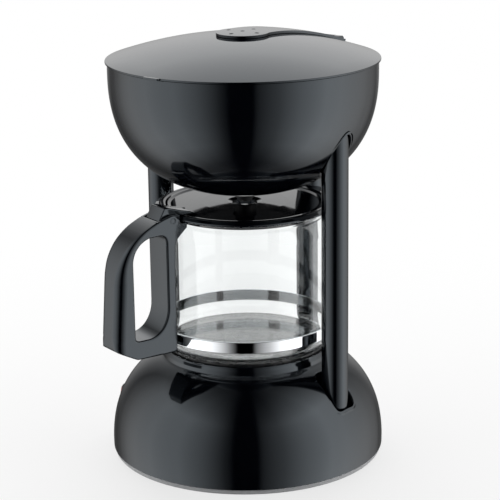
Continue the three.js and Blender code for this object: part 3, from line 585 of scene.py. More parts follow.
# the plate is a disc whose underside has the screws' counterbores and the feet's seats
def makeBasePlate():
    p = plate
    under = np.column_stack([np.linspace(0.0, 99.4, 46), np.zeros(46)])
    rim = softOutline([(99.4, 0, 0), (100.5, 0, 0.4), (p["radius"], 0.9, 0.4), (p["radius"], p["floor"], 0.3),
                       (98.6, p["floor"], 0.2), (98.6, 8, 0.3), (97.2, 8, 0.3), (97.2, 3, 0), (0, 3, 0)],
                      closed=False)
    head = [(4.3, 0, None), (4.1, 0, 0.25), (4.1, 0, 1.6), (1.9, 0, 1.6), (1.9, 0, 2.4), (0.0, 0, 2.4)]
    seat = [(8.6, 0, None), (8.35, 0, 0.3), (8.35, 0, 1.5), (0.0, 0, 1.5)]
    holes = [{"centre": polar(p["screwCircle"], a), "throat": head, "rings": 3,
              "block": block(under, a, 4, 81, 95)} for a in p["screws"]]
    holes += [{"centre": polar(p["footCircle"], a), "throat": seat, "rings": 3,
               "block": block(under, a, 8, 74, 98)} for a in p["feet"]]
    grid = turnedGrid(np.vstack([under, rim[1:]]), columns, eighth)
    disc = holedMesh("base_plate_disc", grid, holes, lambda plan: np.zeros(len(plan)), wrap=True)
    add(disc, "frame", "pale_plastic", "base_plate")


def makeFeet():
    r, high = plate["footRadius"], plate["footTop"]
    for k, azimuth in enumerate(plate["feet"]):
        low = bottom(f"foot_{k + 1}")
        rows = softOutline([(0, low, 0), (r - 1, low, 0.5), (r, low + 0.5, 0.4), (r, high, 0.3),
                            (0, high, 0)], False)
        foot = turned(f"foot_{k + 1}_pad", rows, closed=False, count=64,
                      at=polar(plate["footCircle"], azimuth))
        add(foot, "frame", "foot_rubber", f"foot_{k + 1}")


warmer = {"grooves": (10, 17, 24, 31, 38, 45), "dip": 0.35, "spread": 0.75, "sheet": 1.6}


# rings of shallow grooves: each dips by d exp(-((x - g) / spread)^2) round its radius g
def makeWarmingPlate():
    w = warmer
    level, r, skirt = top("warming_plate"), widest("warming_plate"), bottom("warming_plate")
    x = np.linspace(0, r - 1.2, 220)
    dip = sum(np.exp(-((x - groove) / w["spread"]) ** 2) for groove in w["grooves"])
    surface = np.column_stack([x, level - w["dip"] * dip])[::-1]
    under = level - w["sheet"]
    side = softOutline([(0, under, 0), (r - 2, under, 0.6), (r - 2, skirt, 0.2), (r, skirt, 0.3),
                        (r, level, 0.9), (r - 1.2, level, 0)], closed=False)
    rows = np.vstack([side[:-1], surface])
    add(turned("warming_plate_disc", rows, closed=False, count=200), "frame", "plate_coating",
        "warming_plate")


makeBaseShell()
makeBasePlate()
makeFeet()
makeWarmingPlate()
print("base made")


bowl = {"wall": 2.4, "rim": top("bowl_housing"), "postHole": 10.7, "outlet": 9.0}
post = {"radius": 9.7, "foot": 43.3, "stud": 6.3, "studFoot": 31.0, "bore": 5.4, "circle": 81.9}
postSides = {"right": 0, "rear": 90, "left": 180}


# a tube whose upper edge follows the bowl's inner surface: z = bowl(r) where the post meets it
def makePost(side):
    p, spot = post, np.array(polar(post["circle"], postSides[side]))
    outer = softOutline([(p["stud"], p["studFoot"], 0), (p["stud"], p["foot"], 0),
                         (p["radius"], p["foot"], 0.6), (p["radius"], p["foot"] + 6, 0)], closed=False)
    upright = np.linspace(0, 1, 24)[1:, None]
    grid = turnedGrid(np.vstack([[(p["bore"], p["studFoot"])], outer]), 72)
    inBowl = lambda plan: shellHeight(shells["bowl"], np.linalg.norm(plan + spot, axis=-1),
                                      bowl["wall"] - 0.1)
    wall = grid[-1:, :, :2] + 0 * upright[:, :, None]
    z = grid[-1:, :, 2] * (1 - upright) + inBowl(wall) * upright
    inner = wall[-1:] * (p["bore"] / p["radius"])
    lip = np.concatenate([inner, inBowl(inner)[..., None]], -1)
    whole = np.concatenate([grid, np.concatenate([wall, z[..., None]], -1), lip,
                            grid[:1]]) + np.array([*spot, 0])
    add(gridMesh(f"post_{side}_tube", whole, outwards=False), "frame", "gloss_black", f"post_{side}")


for side in postSides:
    makePost(side)
print("posts made")


# radius of a shell at a height: r = R (1 - (h / H)^p)^(1/p)
def shellRadius(shell, z, inset=0.0):
    h = abs(z - shell["centre"]) / (shell["height"] - inset)
    return (shell["radius"] - inset) * (1 - h ** shell["power"]) ** (1 / shell["power"])


def makeBowl():
    b, shell = bowl, shells["bowl"]
    flat, radius = shells["bowlFloor"], shell["radius"]
    edge = float(shellRadius(shell, flat))
    curve = shellRows(shell, edge + 0.4, radius - 0.02, 74)
    floor = softOutline([(b["outlet"], flat + 1.5, 0), (b["outlet"], flat, 0.7), (edge, flat, 1.4),
                         (curve[0][0] + 0.2, curve[0][1] + 0.1, 0)], closed=False)[:-1]
    upper = np.column_stack([np.full(5, radius), np.linspace(shell["centre"] + 0.6, b["rim"] - 0.5, 5)])
    lip = [(radius - 0.12, b["rim"] - 0.15), (radius - 0.45, b["rim"])]
    rows = np.vstack([floor, curve, upper, lip])
    rho = b["postHole"]
    throat = [(rho + 0.7, 0, None), (rho + 0.3, -0.12, None), (rho + 0.08, -0.4, None), (rho, -0.9, None),
              (rho, -2.2, None)]
    inner = np.where(rows[:, 0] < 66.6)[0].max() + 1
    outer = np.where(rows[:, 0] > 97.2)[0].min()
    holes = [{"centre": polar(post["circle"], azimuth), "throat": throat, "rings": 6,
              "block": (inner, outer, *block(rows, azimuth, 8, 0, radius)[2:])}
             for azimuth in postSides.values()]
    lift = lambda plan: shellHeight(shell, np.linalg.norm(plan, axis=1))
    skin = holedMesh("bowl_skin", turnedGrid(rows, columns, eighth), holes, lift, wrap=True)
    add(thicken(skin, b["wall"] - 0.3), "frame", "gloss_black", "bowl_housing")


tank = {"clearance": 0.9, "wall": 1.6, "floor": 241.0, "wellInner": 46.0, "wellOuter": 47.6, "wellTop": 283.8}


def makeTank():
    t, shell = tank, shells["bowl"]
    rim = top("water_tank")
    outInset, inInset = bowl["wall"] + t["clearance"], bowl["wall"] + t["clearance"] + t["wall"]
    under = t["floor"] - t["wall"]
    outer = shellRows(shell, shellRadius(shell, under, outInset), shell["radius"] - outInset - 0.01, 30,
                      outInset)
    inner = shellRows(shell, shell["radius"] - inInset - 0.01, shellRadius(shell, t["floor"], inInset), 30,
                      inInset)
    edge = softOutline([outer[-1], (outer[-1][0], rim, 0.5), (inner[0][0], rim, 0.5), inner[0]], False)
    well = softOutline([inner[-1], (t["wellOuter"], t["floor"], 1.2), (t["wellOuter"], t["wellTop"], 0.5),
                        (t["wellInner"], t["wellTop"], 0.5), (t["wellInner"], under, 0)], False)
    rows = np.vstack([[(t["wellInner"], under)], outer, edge[1:-1], inner, well[1:-1]])
    add(turned("water_tank_liner", rows, count=200), "frame", "satin_black", "water_tank")


def makeBasket():
    level, spout = top("filter_basket"), bottom("filter_basket")
    rows = softOutline([
        (4.6, spout, 0.3), (7.2, spout, 0.5), (7.2, 212.6, 0.8), (11, 213.4, 2), (30, 221.8, 4), (44, 280, 1),
        (45.2, level - 2.3, 0.5), (49, level - 2.3, 0.4), (49, level, 0.6), (43.6, level, 0.6),
        (42.4, 280.4, 1), (28.7, 223.4, 4), (9, 215, 2), (3.2, 214.6, 0.4), (3.2, 211.5, 0.3),
        (4.6, 211.5, 0)])
    add(turned("filter_basket_cone", rows, count=120), "frame", "satin_black", "filter_basket")
    cloth = softOutline([(0, 221.3, 0), (27, 224.8, 2), (41.4, 281.4, 0.3), (40.4, 281.4, 0.3),
                         (26.2, 226, 2), (0, 222.5, 0)], closed=False)
    add(turned("filter_cloth", cloth, closed=False, count=120), "frame", "filter_gold", "filter_mesh")


dripStop = {"radius": 5.6, "shank": 2.4, "head": 6.6, "headFoot": 218.2,
            "coil": 3.5, "wire": 0.35, "turns": 6, "coilFoot": 195, "coilHeight": 15.5}


def makeDripStop():
    d = dripStop
    low, flange = bottom("drip_stop_plunger"), bottom("filter_basket") - 0.3
    rows = softOutline([(0, low, 0), (d["radius"], low, 0.8), (d["radius"], flange, 0.3),
                        (d["shank"], flange, 0.2),
                        (d["shank"], d["headFoot"], 0.3), (d["head"], d["headFoot"], 0.4),
                        (d["head"], d["headFoot"] + 1.2, 0.4), (0, d["headFoot"] + 2.2, 0)], False)
    add(turned("drip_stop_pin", rows, closed=False, count=48), "drip_stop", "satin_black",
        "drip_stop_plunger")
    turn = np.linspace(0, d["turns"] * 2 * np.pi, 300)
    coil = np.column_stack([d["coil"] * np.cos(turn), d["coil"] * np.sin(turn),
                            d["coilFoot"] + d["coilHeight"] * turn / turn[-1]])
    add(bar("drip_stop_coil", coil, d["wire"], 8), "drip_stop", "fastener_steel", "drip_stop_spring")


makeBowl()
makeTank()
makeBasket()
makeDripStop()
print("bowl, tank and basket made")


lid = {"radius": widest("lid"), "edge": 298.3, "rise": 17.0, "thickness": 2.2, "skirt": 95.6,
       "skirtFoot": 292.5}
strap = {"radius": 19.5, "neck": 17.5, "rearWidth": 22.6, "rear": 97.0, "gap": 0.3, "thickness": 1.9,
         "hole": 1.5, "holeCircle": 13}
hinge = {"y": 103.0, "z": 297.5, "knuckle": 4.0, "pin": 1.6, "halfWidth": 7.5, "ear": 6.0, "gap": 0.5}


# the lid is a shallow dome: z = edge + rise (1 - (r / R)^2)
def lidHeight(r, lift=0.0):
    return lid["edge"] + lid["rise"] * (1 - (np.asarray(r, float) / lid["radius"]) ** 2) + lift


def makeLid():
    p, h = lid, hinge
    crown = np.linspace(0, p["radius"] - 1.0, 60)
    under = np.linspace(p["skirt"] - 2.4, 0, 30)
    inSkirt = p["skirt"] - 1.7
    rim = softOutline([
        (crown[-1], float(lidHeight(crown[-1])), 0), (p["radius"], p["edge"], 0.5),
        (p["radius"], p["edge"] - 1.2, 0.4), (p["skirt"], p["edge"] - 1.2, 0.3),
        (p["skirt"], p["skirtFoot"], 0.4),
        (inSkirt, p["skirtFoot"], 0.4), (inSkirt, float(lidHeight(p["skirt"], -p["thickness"])), 0.4),
        (under[0], float(lidHeight(under[0], -p["thickness"])), 0)], closed=False)
    rows = np.vstack([np.column_stack([crown, lidHeight(crown)]), rim[1:-1],
                      np.column_stack([under, lidHeight(under, -p["thickness"])])])
    add(turned("lid_shell", rows, closed=False, count=240), "lid", "gloss_black", "lid")
    tab = softOutline([(-7, -99, 0.5), (-7, -102.2, 2.4), (7, -102.2, 2.4), (7, -99, 0.5)])
    add(prism("lid_finger_tab", tab, p["edge"] - 1.1, p["edge"] + 0.35, 0.4, laidFlat), "lid", "gloss_black")
    k = h["knuckle"]
    ear = softOutline([(97.9, 297.2, 0.4), (99.6, 297.2, 0.5), (h["y"] - 1, h["z"] - k, 1.6),
                       (h["y"] + k, h["z"] - k, 3.9), (h["y"] + k, h["z"] + k, 3.9),
                       (h["y"] - 2.4, h["z"] + k, 2.4), (98, 298.5, 0.4)])
    near = h["halfWidth"] + h["gap"]
    far = near + h["ear"]
    add(prism("lid_ear_left", ear, -far, -near, 0.5, onEdge), "lid", "gloss_black")
    add(prism("lid_ear_right", ear, near, far, 0.5, onEdge), "lid", "gloss_black")


# The strap's half-width w(y): a circle in front, then a neck that widens to the rear. Its upper face
# is the lid's dome raised by the gap and its thickness; columns run across at x = w s.
def strapWidth(y):
    s = strap
    start = math.sqrt(s["radius"] ** 2 - s["neck"] ** 2)
    circle = np.sqrt(np.clip(s["radius"] ** 2 - y ** 2, 0, None))
    t = np.clip((y - start) / (s["rear"] - start), 0, 1)
    sweep = s["neck"] * (1 - t) ** 2 + (s["neck"] - 1.5) * 2 * t * (1 - t) + s["rearWidth"] * t ** 2
    return np.where(y < start, circle, sweep)


def makeStrap():
    s = strap
    front = -s["radius"] * np.cos(np.linspace(0.0, np.pi / 2, 22))
    y = np.concatenate([front[:-1], np.linspace(0, s["rear"], 64)])
    share = np.sin(np.linspace(-np.pi / 2, np.pi / 2, 45))
    share = 0.5 * share + 0.5 * np.linspace(-1, 1, 45)
    width = strapWidth(y)
    upper = s["gap"] + s["thickness"]

    def lift(flat):
        return lidHeight(np.linalg.norm(flat, axis=1), upper)

    plan = np.stack([width[:, None] * share, y[:, None] + 0 * share], axis=-1)
    grid = np.concatenate([plan, lift(plan.reshape(-1, 2)).reshape(*plan.shape[:2], 1)], axis=-1)
    holes = []
    rho, ring = s["hole"], s["holeCircle"]
    throat = [(rho + 0.25, 0, None), (rho + 0.08, 0.08, None), (rho, 0.3, None), (rho, 1.7, None)]
    for centre in ((0, 0), (ring, 0), (-ring, 0), (0, ring), (0, -ring)):
        i, j = np.where(np.linalg.norm(plan - np.array(centre), axis=-1) < 2.6)
        holes.append({"centre": centre, "throat": throat, "rings": 3,
                      "block": (i.min() - 1, i.max() + 1, j.min() - 1, j.max() + 1)})
    skin = holedMesh("vent_strap", grid, holes, lift, sharp=50)
    facesUp(skin.data)
    add(thicken(skin, s["thickness"] - 0.05, 50), "lid", "gloss_black", "vent_cover")


# the whole surface is turned over if its faces look down
def facesUp(mesh):
    normals = np.zeros(len(mesh.polygons) * 3)
    mesh.polygons.foreach_get("normal", normals)
    if normals[2::3].mean() < 0:
        mesh.flip_normals()


def makeLidHinge():
    h, face = hinge, shells["bowl"]["radius"] + 0.3
    y, z, k = h["y"], h["z"], h["knuckle"]
    arm = softOutline([(face, 284, 0.6), (face + 4, 284, 1.0), (y + k, z - 2, 2), (y + k, z + k, 3.9),
                       (y - k, z + k, 3.9), (y - k, z - 1, 1), (face, 292, 0.6)])
    add(prism("lid_hinge_arm", arm, -h["halfWidth"], h["halfWidth"], 0.4, onEdge), "frame", "satin_black",
        "lid_hinge_bracket")
    pad = softOutline([(-14, 276, 2), (14, 276, 2), (14, 292, 2), (-14, 292, 2)])
    add(prism("lid_hinge_pad", pad, face, face + 1.8, 0.5, lambda points: points), "frame", "satin_black")
    reach = h["halfWidth"] + h["gap"] + h["ear"]
    pin = softOutline([(0, -reach, 0), (h["pin"], -reach, 0.3), (h["pin"], reach, 0.3), (0, reach, 0)], False)
    lay = Matrix.Translation((0, y, z)) @ Matrix.Rotation(math.pi / 2, 4, "Y")
    rod = turned("lid_hinge_rod", pin, closed=False, count=32, turn=lay)
    add(rod, "frame", "fastener_steel", "lid_hinge_pin")


duct = {"from": -7, "to": 88, "ceiling": -2.5, "depth": 5.6, "halfWidth": 5.0, "bore": 2.6}


# the duct under the lid: a bar whose top and floor follow the lid, then its seal and the shower rose
def makeDuct():
    d, bore = duct, duct["bore"]
    y = np.linspace(d["from"], d["to"], 30)
    outline = np.vstack([np.column_stack([y, lidHeight(np.abs(y), d["ceiling"] - d["depth"])]),
                         np.column_stack([y[::-1], lidHeight(np.abs(y[::-1]), d["ceiling"])])])
    add(ductBar("lid_duct_bar", outline, d["halfWidth"], 0.5), "lid", "satin_black", "lid_duct")
    low, high = bottom("duct_seal"), top("duct_seal")
    seal = softOutline([(bore, low, 0.3), (4.6, low, 0.5), (4.6, high, 0.2), (bore, high, 0.2)])
    add(turned("duct_seal_ring", seal, count=40, at=(0, post["circle"])), "lid", "foot_rubber", "duct_seal")
    high = top("shower_head")
    rose = softOutline([(bore, 291.4, 0.3), (28, 291.4, 1), (29, 292.4, 0.5), (29, 294.2, 0.8), (7, 297, 3),
                        (4.8, 300, 0.5), (4.8, high, 0.2), (bore, high, 0.2)])
    add(turned("shower_rose", rose, count=120), "lid", "satin_black", "shower_head")


# a long thin outline: both ends close along its own two sides, lower to upper
def ductBar(name, outline, half, edge):
    inward = inwardNormals(outline)
    quarter = np.linspace(0, np.pi / 2, 4)
    rings = [(outline + inward * edge * (1 - np.sin(q)), -half + edge * (1 - np.cos(q))) for q in quarter]
    rings += [(outline + inward * edge * (1 - np.cos(q)), half - edge * (1 - np.sin(q))) for q in quarter]
    grid = np.stack([np.column_stack([f[:, 0], np.full(len(f), t), f[:, 1]]) for f, t in rings])
    count = len(outline)
    index = np.arange(len(rings) * count).reshape(len(rings), count)
    side = quads(np.concatenate([index, index[:, :1]], axis=1))
    caps = []
    for row in (index[0], index[-1]):
        lower, upper = row[:count // 2], row[count // 2:][::-1]
        caps.append(np.stack([lower[:-1], lower[1:], upper[1:], upper[:-1]], axis=-1))
    piece = makeMesh(name, onEdge(grid.reshape(-1, 3)), [side, *caps])
    facesOut(piece.data)
    return piece


makeLid()
makeStrap()
makeLidHinge()
makeDuct()
print("lid made")


switch = {"azimuth": 195, "z": 28.0, "tilt": 11.5, "halfWidth": 9.2, "halfHeight": 6.2, "swing": 6,
          "surround": [(-14.0, 0.0), (-14.0, 11.0), (0.0, 11.0), (0.3, 12.8), (1.5, 12.8), (2.0, 12.3),
                       (2.0, 10.1), (1.6, 9.7), (-12.0, 9.7), (-12.0, 0.0)]}


# from the switch's own frame, with +X out of the wall, to its place on the dome
def onWall(points):
    s = switch
    r = shellRadius(shells["dome"], s["z"])
    return placed(Matrix.Rotation(math.radians(s["azimuth"]), 4, "Z") @ Matrix.Translation((r, 0, s["z"]))
                  @ Matrix.Rotation(math.radians(-s["tilt"]), 4, "Y"), points)


# The surround's loops are rounded rectangles, (out of the wall, half-width), whose outline is
# (sgn cos |cos|^c, sgn sin |sin|^c). The key is a prism whose face hollows by (y / w)^2.
def makeSwitch():
    s = switch
    w, h = s["halfWidth"], s["halfHeight"]
    t = np.linspace(0, 2 * np.pi, 97)[:-1]
    unit = np.stack([np.cos(t), np.sin(t)])
    unit = np.sign(unit) * np.abs(unit) ** 0.12
    loops = [np.column_stack([np.full(len(t), out), unit[0] * reach, unit[1] * max(reach - (w - h), 0)])
             for out, reach in s["surround"]]
    add(gridMesh("switch_surround", np.stack(loops), onWall), "frame", "satin_black", "switch_bezel")
    y = np.linspace(-w, w, 30)
    face = np.column_stack([1.6 + 1.4 * (y / w) ** 2, y])
    back = softOutline([(3.0, w, 0), (-0.5, w, 0.6), (-4, 3, 1.5), (-4, -3, 1.5), (-0.5, -w, 0.6),
                        (3.0, -w, 0)], False)
    swing = math.radians(-s["swing"])
    turn = np.array([[math.cos(swing), -math.sin(swing)], [math.sin(swing), math.cos(swing)]])
    outline = np.vstack([face, back[1:-1]]) @ turn.T
    key = prism("power_rocker_key", outline, -h, h, 0.6, lambda points: onWall(laidFlat(points)))
    add(key, "power_rocker", "rocker_red", "power_rocker")


outlet = {"z": 17, "bore": 3.2, "radius": 6.5, "flange": 8.3, "inside": 94, "wall": 102.7, "outside": 104.5}


def makeCordOutlet():
    o = outlet
    rows = softOutline([
        (o["bore"], o["inside"], 0.2), (o["radius"], o["inside"], 0.4), (o["radius"], o["wall"], 0),
        (o["flange"], o["wall"], 0.4), (o["flange"], o["outside"], 0.8), (o["bore"], o["outside"], 0.6)])
    lay = (Matrix.Rotation(math.pi / 2, 4, "Z") @ Matrix.Translation((0, 0, o["z"]))
           @ Matrix.Rotation(math.pi / 2, 4, "Y"))
    add(turned("cord_gland_bush", rows, count=64, turn=lay), "frame", "foot_rubber", "cord_gland")


makeSwitch()
makeCordOutlet()
print("switch and cord outlet made")


jug = {
    "azimuth": -106.5, "radius": 65.2, "foot": 84.3, "corner": 9.0, "wall": 2.2, "shoulder": 172.0,
    "neck": 60.2, "neckFoot": 184.0, "rim": top("jug_glass"), "bandInner": 65.5, "bandOuter": 67.6,
    "collarInner": 60.7, "collarOuter": 66.5, "seat": 62.7,
    "underside": [(0, 1.4), (18, 1.35), (38, 1.0), (50, 0.3)],  # (radius, height above the foot)
    "floor": [(50, 0.3), (38, 0.9), (18, 1.1), (0, 1.15)],  # the same, above the foot and the wall
}


# from the jug's own frame, with +X along the handle, to the object's
def onJug(points):
    a = math.radians(jug["azimuth"])
    x, y = points[:, 0], points[:, 1]
    return np.column_stack([x * math.cos(a) - y * math.sin(a), x * math.sin(a) + y * math.cos(a),
                            points[:, 2]])


def flatOnJug(points):
    return onJug(laidFlat(points))


# The shoulder leaves the wall as r - d q^2.3, and a small hollow curve turns it up into the neck.
def makeGlass():
    j = jug
    r, t, foot, corner = j["radius"], j["wall"], j["foot"], j["corner"]
    turn = np.linspace(-np.pi / 2, 0, 14)
    arc = np.column_stack([np.cos(turn), np.sin(turn)])
    centre = np.array([r - corner, foot + corner])
    q = np.linspace(0, 0.9, 20)
    drop, high = r - j["neck"], j["neckFoot"] - j["shoulder"]
    outerShoulder = np.column_stack([r - drop * q ** 2.3, j["shoulder"] + high * q])
    innerShoulder = outerShoulder[::-1] - np.array([t, 0.9])
    rim = softOutline([
        outerShoulder[-1], (j["neck"], j["neckFoot"], 3), (j["neck"], j["rim"], 0.9),
        (j["neck"] - t, j["rim"], 0.9), (j["neck"] - t, j["neckFoot"] - 1, 3), innerShoulder[0]], False)
    rows = np.vstack([
        np.array(j["underside"]) + [0, foot], centre + corner * arc, outerShoulder, rim[1:-1],
        innerShoulder, (centre + (corner - t) * arc)[::-1], np.array(j["floor"]) + [0, foot + t]])
    add(turned("jug_glass_wall", rows, closed=False, count=200), "jug", "clear_glass", "jug_glass")


def makeBand():
    inner, outer, low, high = jug["bandInner"], jug["bandOuter"] - 0.1, bottom("jug_band"), top("jug_band")
    rows = softOutline([(inner, low, 0.3), (outer, low, 0.9), (outer, high, 0.9), (inner, high, 0.3)])
    add(turned("jug_band_strip", rows, count=240), "jug", "band_chrome", "jug_band")
    lug = softOutline([(66.5, -5, 0.3), (76, -5, 2), (76, 5, 2), (66.5, 5, 0.3)])
    add(prism("jug_band_lug", lug, 97.6, 99.4, 0.3, flatOnJug), "jug", "band_chrome")


# a thin flange that slopes in to the ledge under the lid, with a pouring lip opposite the handle
def makeCollar():
    low, high = bottom("jug_collar"), top("jug_collar")
    r, bore, seat = jug["collarOuter"], jug["collarInner"], jug["seat"]
    rows = softOutline([
        (bore, low, 0.3), (r - 1.2, low + 0.6, 0.8), (r, low + 1.5, 0.5), (r - 0.3, low + 2.3, 0.5),
        (seat + 0.8, high, 0.5), (seat, high, 0.2), (seat, high - 1.3, 0.1), (bore, high - 1.3, 0.2)])
    add(turned("jug_collar_ring", rows, count=240), "jug", "gloss_black", "jug_collar")
    lip = softOutline([(-63.1, -12, 0.6), (-66, -11.2, 2), (-71.3, -3, 2.4), (-71.3, 3, 2.4), (-66, 11.2, 2),
                       (-63.1, 12, 0.6)])
    add(prism("jug_spout_lip", lip, low + 0.7, high - 0.2, 0.6, flatOnJug), "jug", "gloss_black")


# points on a curve given by its end and its one or two handles
def curve(start, *rest):
    t = np.linspace(0, 1, 18)[1:, None]
    p = [np.array(q, float) for q in (start, *rest)]
    if len(p) == 3:
        return (1 - t) ** 2 * p[0] + 2 * t * (1 - t) * p[1] + t ** 2 * p[2]
    return (1 - t) ** 3 * p[0] + 3 * t * (1 - t) ** 2 * p[1] + 3 * t ** 2 * (1 - t) * p[2] + t ** 3 * p[3]


handle = {
    "half": 12.3, "edge": 7.5, "rootEdge": 0.5, "footEdge": 1.0, "holeEdge": 1.6, "gap": 0.3,
    "slotHalf": 8.95, "slotEnd": 82.0, "slotFloor": 184.6, "pin": (71.2, 189.8), "pinRadius": 1.6,
    "lever": 8.65, "screw": 72.8,
    # how far the broad rounding has grown, by height
    "gripHeights": [98, 108, 150, 186], "gripShares": [0, 1, 1, 0.15],
    # what the handle keeps clear of: the jug's radius, then the neck's and the collar's, by height
    "clearHeights": [90, 172.0, 176, 179.4, 182.4, 187.24, 187.26, 200],
    "clearRadii": [65.2, 65.2, 64.7, 63.3, 60.5, 60.5, 66.5, 66.5],
}


# The two outlines of the handle from the side, (r, z), in matching stretches: the first of each pair
# runs round the outside, the second round the finger hole.
def handleStretches():
    end = handle["slotEnd"]
    brow = 193.5 - (193.5 - 190.6) * (end - 72) / 11
    outer = [
        np.array([(69.6, 169), (69.6, 125)]),
        softOutline([(69.6, 125), (69.6, 91.3, 2.6), (88, 91.4)], False),
        softOutline([(88, 91.4), (103.7, 91.6, 6), (112, 95.8)], False),
        softOutline([(112, 95.8), (120.6, 100.3, 3.2), (121.0, 110)], False),
        np.array([(121.0, 110), (118.6, 145)]),
        np.vstack([[(118.6, 145)], curve((118.6, 145), (117.9, 164), (110, 176.2), (97, 184.2))]),
        np.vstack([[(97, 184.2)], curve((97, 184.2), (90, 188.4), (83, 190.6)), [(end + 0.02, brow)]]),
        np.array([(end - 0.02, brow), (72, 193.5), (66, 193.5)]),
        softOutline([(66, 193.5), (64.6, 193.5, 0.8), (64.6, 187.25, 0.1), (57, 187.2, 0.2), (57, 183.6, 0.2),
                     (60, 182.8)], False),
        softOutline([(60, 182.8), (64, 179.4, 0.5), (69.0, 174.5, 3), (69.6, 169)], False),
    ]
    lowBend = curve((76.7, 125), (77.5, 113), (85, 105.6), (94, 105.3))
    highBend = curve((104.9, 163), (104.6, 171), (100, 177.6), (91, 180))
    innerBend = curve((82, 180.2), (77, 179.8), (76.9, 173.5))
    inner = [
        np.array([(76.85, 169), (76.7, 125)]),
        lowBend[:-5],
        np.vstack([lowBend[-6:], [(99, 105.3)]]),
        np.vstack([[(99, 105.3), (102, 105.4)], curve((102, 105.4), (104.6, 106), (104.7, 109))]),
        np.array([(104.7, 109), (104.8, 145)]),
        np.vstack([[(104.8, 145), (104.9, 163)], highBend[:-4]]),
        highBend[-5:],
        np.array([(91, 180), (84, 180.15)]),
        np.vstack([[(84, 180.15), (82, 180.2)], innerBend[:-6]]),
        np.vstack([innerBend[-7:], [(76.85, 169)]]),
    ]
    counts = [24, 40, 16, 20, 16, 44, 22, 14, 44, 26]
    return [np.vstack([resample(line, n + 1)[:-1] for line, n in zip(side, counts)])
            for side in (outer, inner)]


# The handle is a closed band between those outlines. Its outer edges are rounded broadly along the
# grip: at t across, the outline steps in by R - sqrt(R^2 - (t - half + R)^2). The foot is cut flat, so
# there the same step only limits x. Along the slot the middle of the outer face drops to the slot's
# floor. Beside the jug it keeps clear of the glass and the collar: x >= sqrt((R(z) + gap)^2 - t^2).
def makeHandle():
    h = handle
    half = h["half"]
    outer, inner = handleStretches()
    grip = np.interp(outer[:, 1], h["gripHeights"], h["gripShares"]) * np.clip((outer[:, 0] - 78) / 10, 0, 1)
    small = np.where(outer[:, 1] > 160, h["rootEdge"], h["footEdge"])
    edge = (small + (h["edge"] - small) * grip)[:, None]
    spread = np.where(outer[:, 0] > 84, h["edge"], edge[:, 0])
    bead = h["holeEdge"]
    fromOuter, fromInner = inwardNormals(outer), -inwardNormals(inner)
    quarter = np.linspace(0, np.pi / 2, 9)
    limit = np.where((outer[:, 1] < 108) & (outer[:, 0] > 84), outer[:, 0].max() + 0.3, 999.0)

    def outerLoop(q, sign):
        t = half - spread * (1 - np.cos(q))
        within = np.clip(t - half + edge[:, 0], 0, edge[:, 0])
        step = edge[:, 0] - np.sqrt(np.clip(edge[:, 0] ** 2 - within ** 2, 0, None))
        flat = outer + fromOuter * step[:, None]
        flat[:, 0] = np.minimum(flat[:, 0], limit - h["edge"] * (1 - np.sin(q)))
        return flat, sign * t

    loops = []
    for sign in (-1, 1):
        turnOuter = [outerLoop(q, sign) for q in quarter]
        turnInner = [(inner + fromInner * bead * (1 - np.sin(q)), sign * (half - bead * (1 - np.cos(q))))
                     for q in quarter]
        near, far = turnOuter[0][0], turnInner[0][0]
        face = [(near * (1 - f) + far * f, sign * half) for f in (0.05, 0.35, 0.65, 0.95)]
        side = turnOuter[::-1] + face + turnInner
        loops += side if sign < 0 else side[::-1]
    inSlot = (outer[:, 0] < h["slotEnd"]) & (outer[:, 1] > h["slotFloor"])
    sunk = np.column_stack([outer[:, 0], np.where(inSlot, h["slotFloor"], outer[:, 1])])
    beside = np.minimum(h["slotHalf"], half - spread - 0.8)
    down = np.column_stack([0 * inSlot, inSlot])
    slot = [(outer - d * down, beside + w) for w, d in ((0.5, 0), (0.15, 0.12), (0, 0.45))] + [(sunk, beside)]
    loops += slot + [(flat, -t) for flat, t in slot[::-1]]
    grid = np.stack([np.column_stack([flat[:, 0], np.broadcast_to(t, len(flat)), flat[:, 1]])
                     for flat, t in loops + loops[:1]])
    clear = np.interp(grid[..., 2], h["clearHeights"], h["clearRadii"]) + h["gap"]
    grid[..., 0] = np.maximum(grid[..., 0], np.sqrt(clear ** 2 - grid[..., 1] ** 2))
    add(gridMesh("jug_handle_grip", grid, onJug, 50), "jug", "gloss_black", "jug_handle")


# the screw up through the band's lug, and the lid's pin with a fine ring round each end
def makeHandleMetal():
    h = handle
    half, rho = h["half"], h["pinRadius"]
    screw = softOutline([(0, 92.4, 0), (3.2, 92.4, 0.6), (3.2, 94.8, 0.2), (1.5, 94.8, 0.1), (1.5, 106, 0.3),
                         (0, 107, 0)], False)
    bolt = turned("jug_handle_bolt", screw, closed=False, count=32, at=polar(h["screw"], jug["azimuth"]))
    add(bolt, "jug", "fastener_steel", "jug_handle_screw")
    end = half - 0.2
    pin = softOutline([(0, -end, 0), (rho, -end, 0.3), (rho, end, 0.3), (0, end, 0)], False)
    lay = (Matrix.Rotation(math.radians(jug["azimuth"]), 4, "Z")
           @ Matrix.Translation((h["pin"][0], 0, h["pin"][1])) @ Matrix.Rotation(math.pi / 2, 4, "X"))
    add(turned("jug_lid_axle", pin, closed=False, count=32, turn=lay), "jug", "fastener_steel", "jug_lid_pin")
    rim = softOutline([(rho, half - 0.1, 0), (rho + 0.7, half - 0.1, 0), (rho + 0.7, half + 0.12, 0.1),
                       (rho, half + 0.2, 0.1)])
    for side, ring in (("near", rim), ("far", rim * np.array([1, -1]))):
        add(turned(f"jug_pin_eye_{side}", ring, count=32, turn=lay), "jug", "gloss_black")


jugLid = {"high": 191.8, "radius": 62.4, "hole": 9.0, "plug": (54.6, 56.6)}


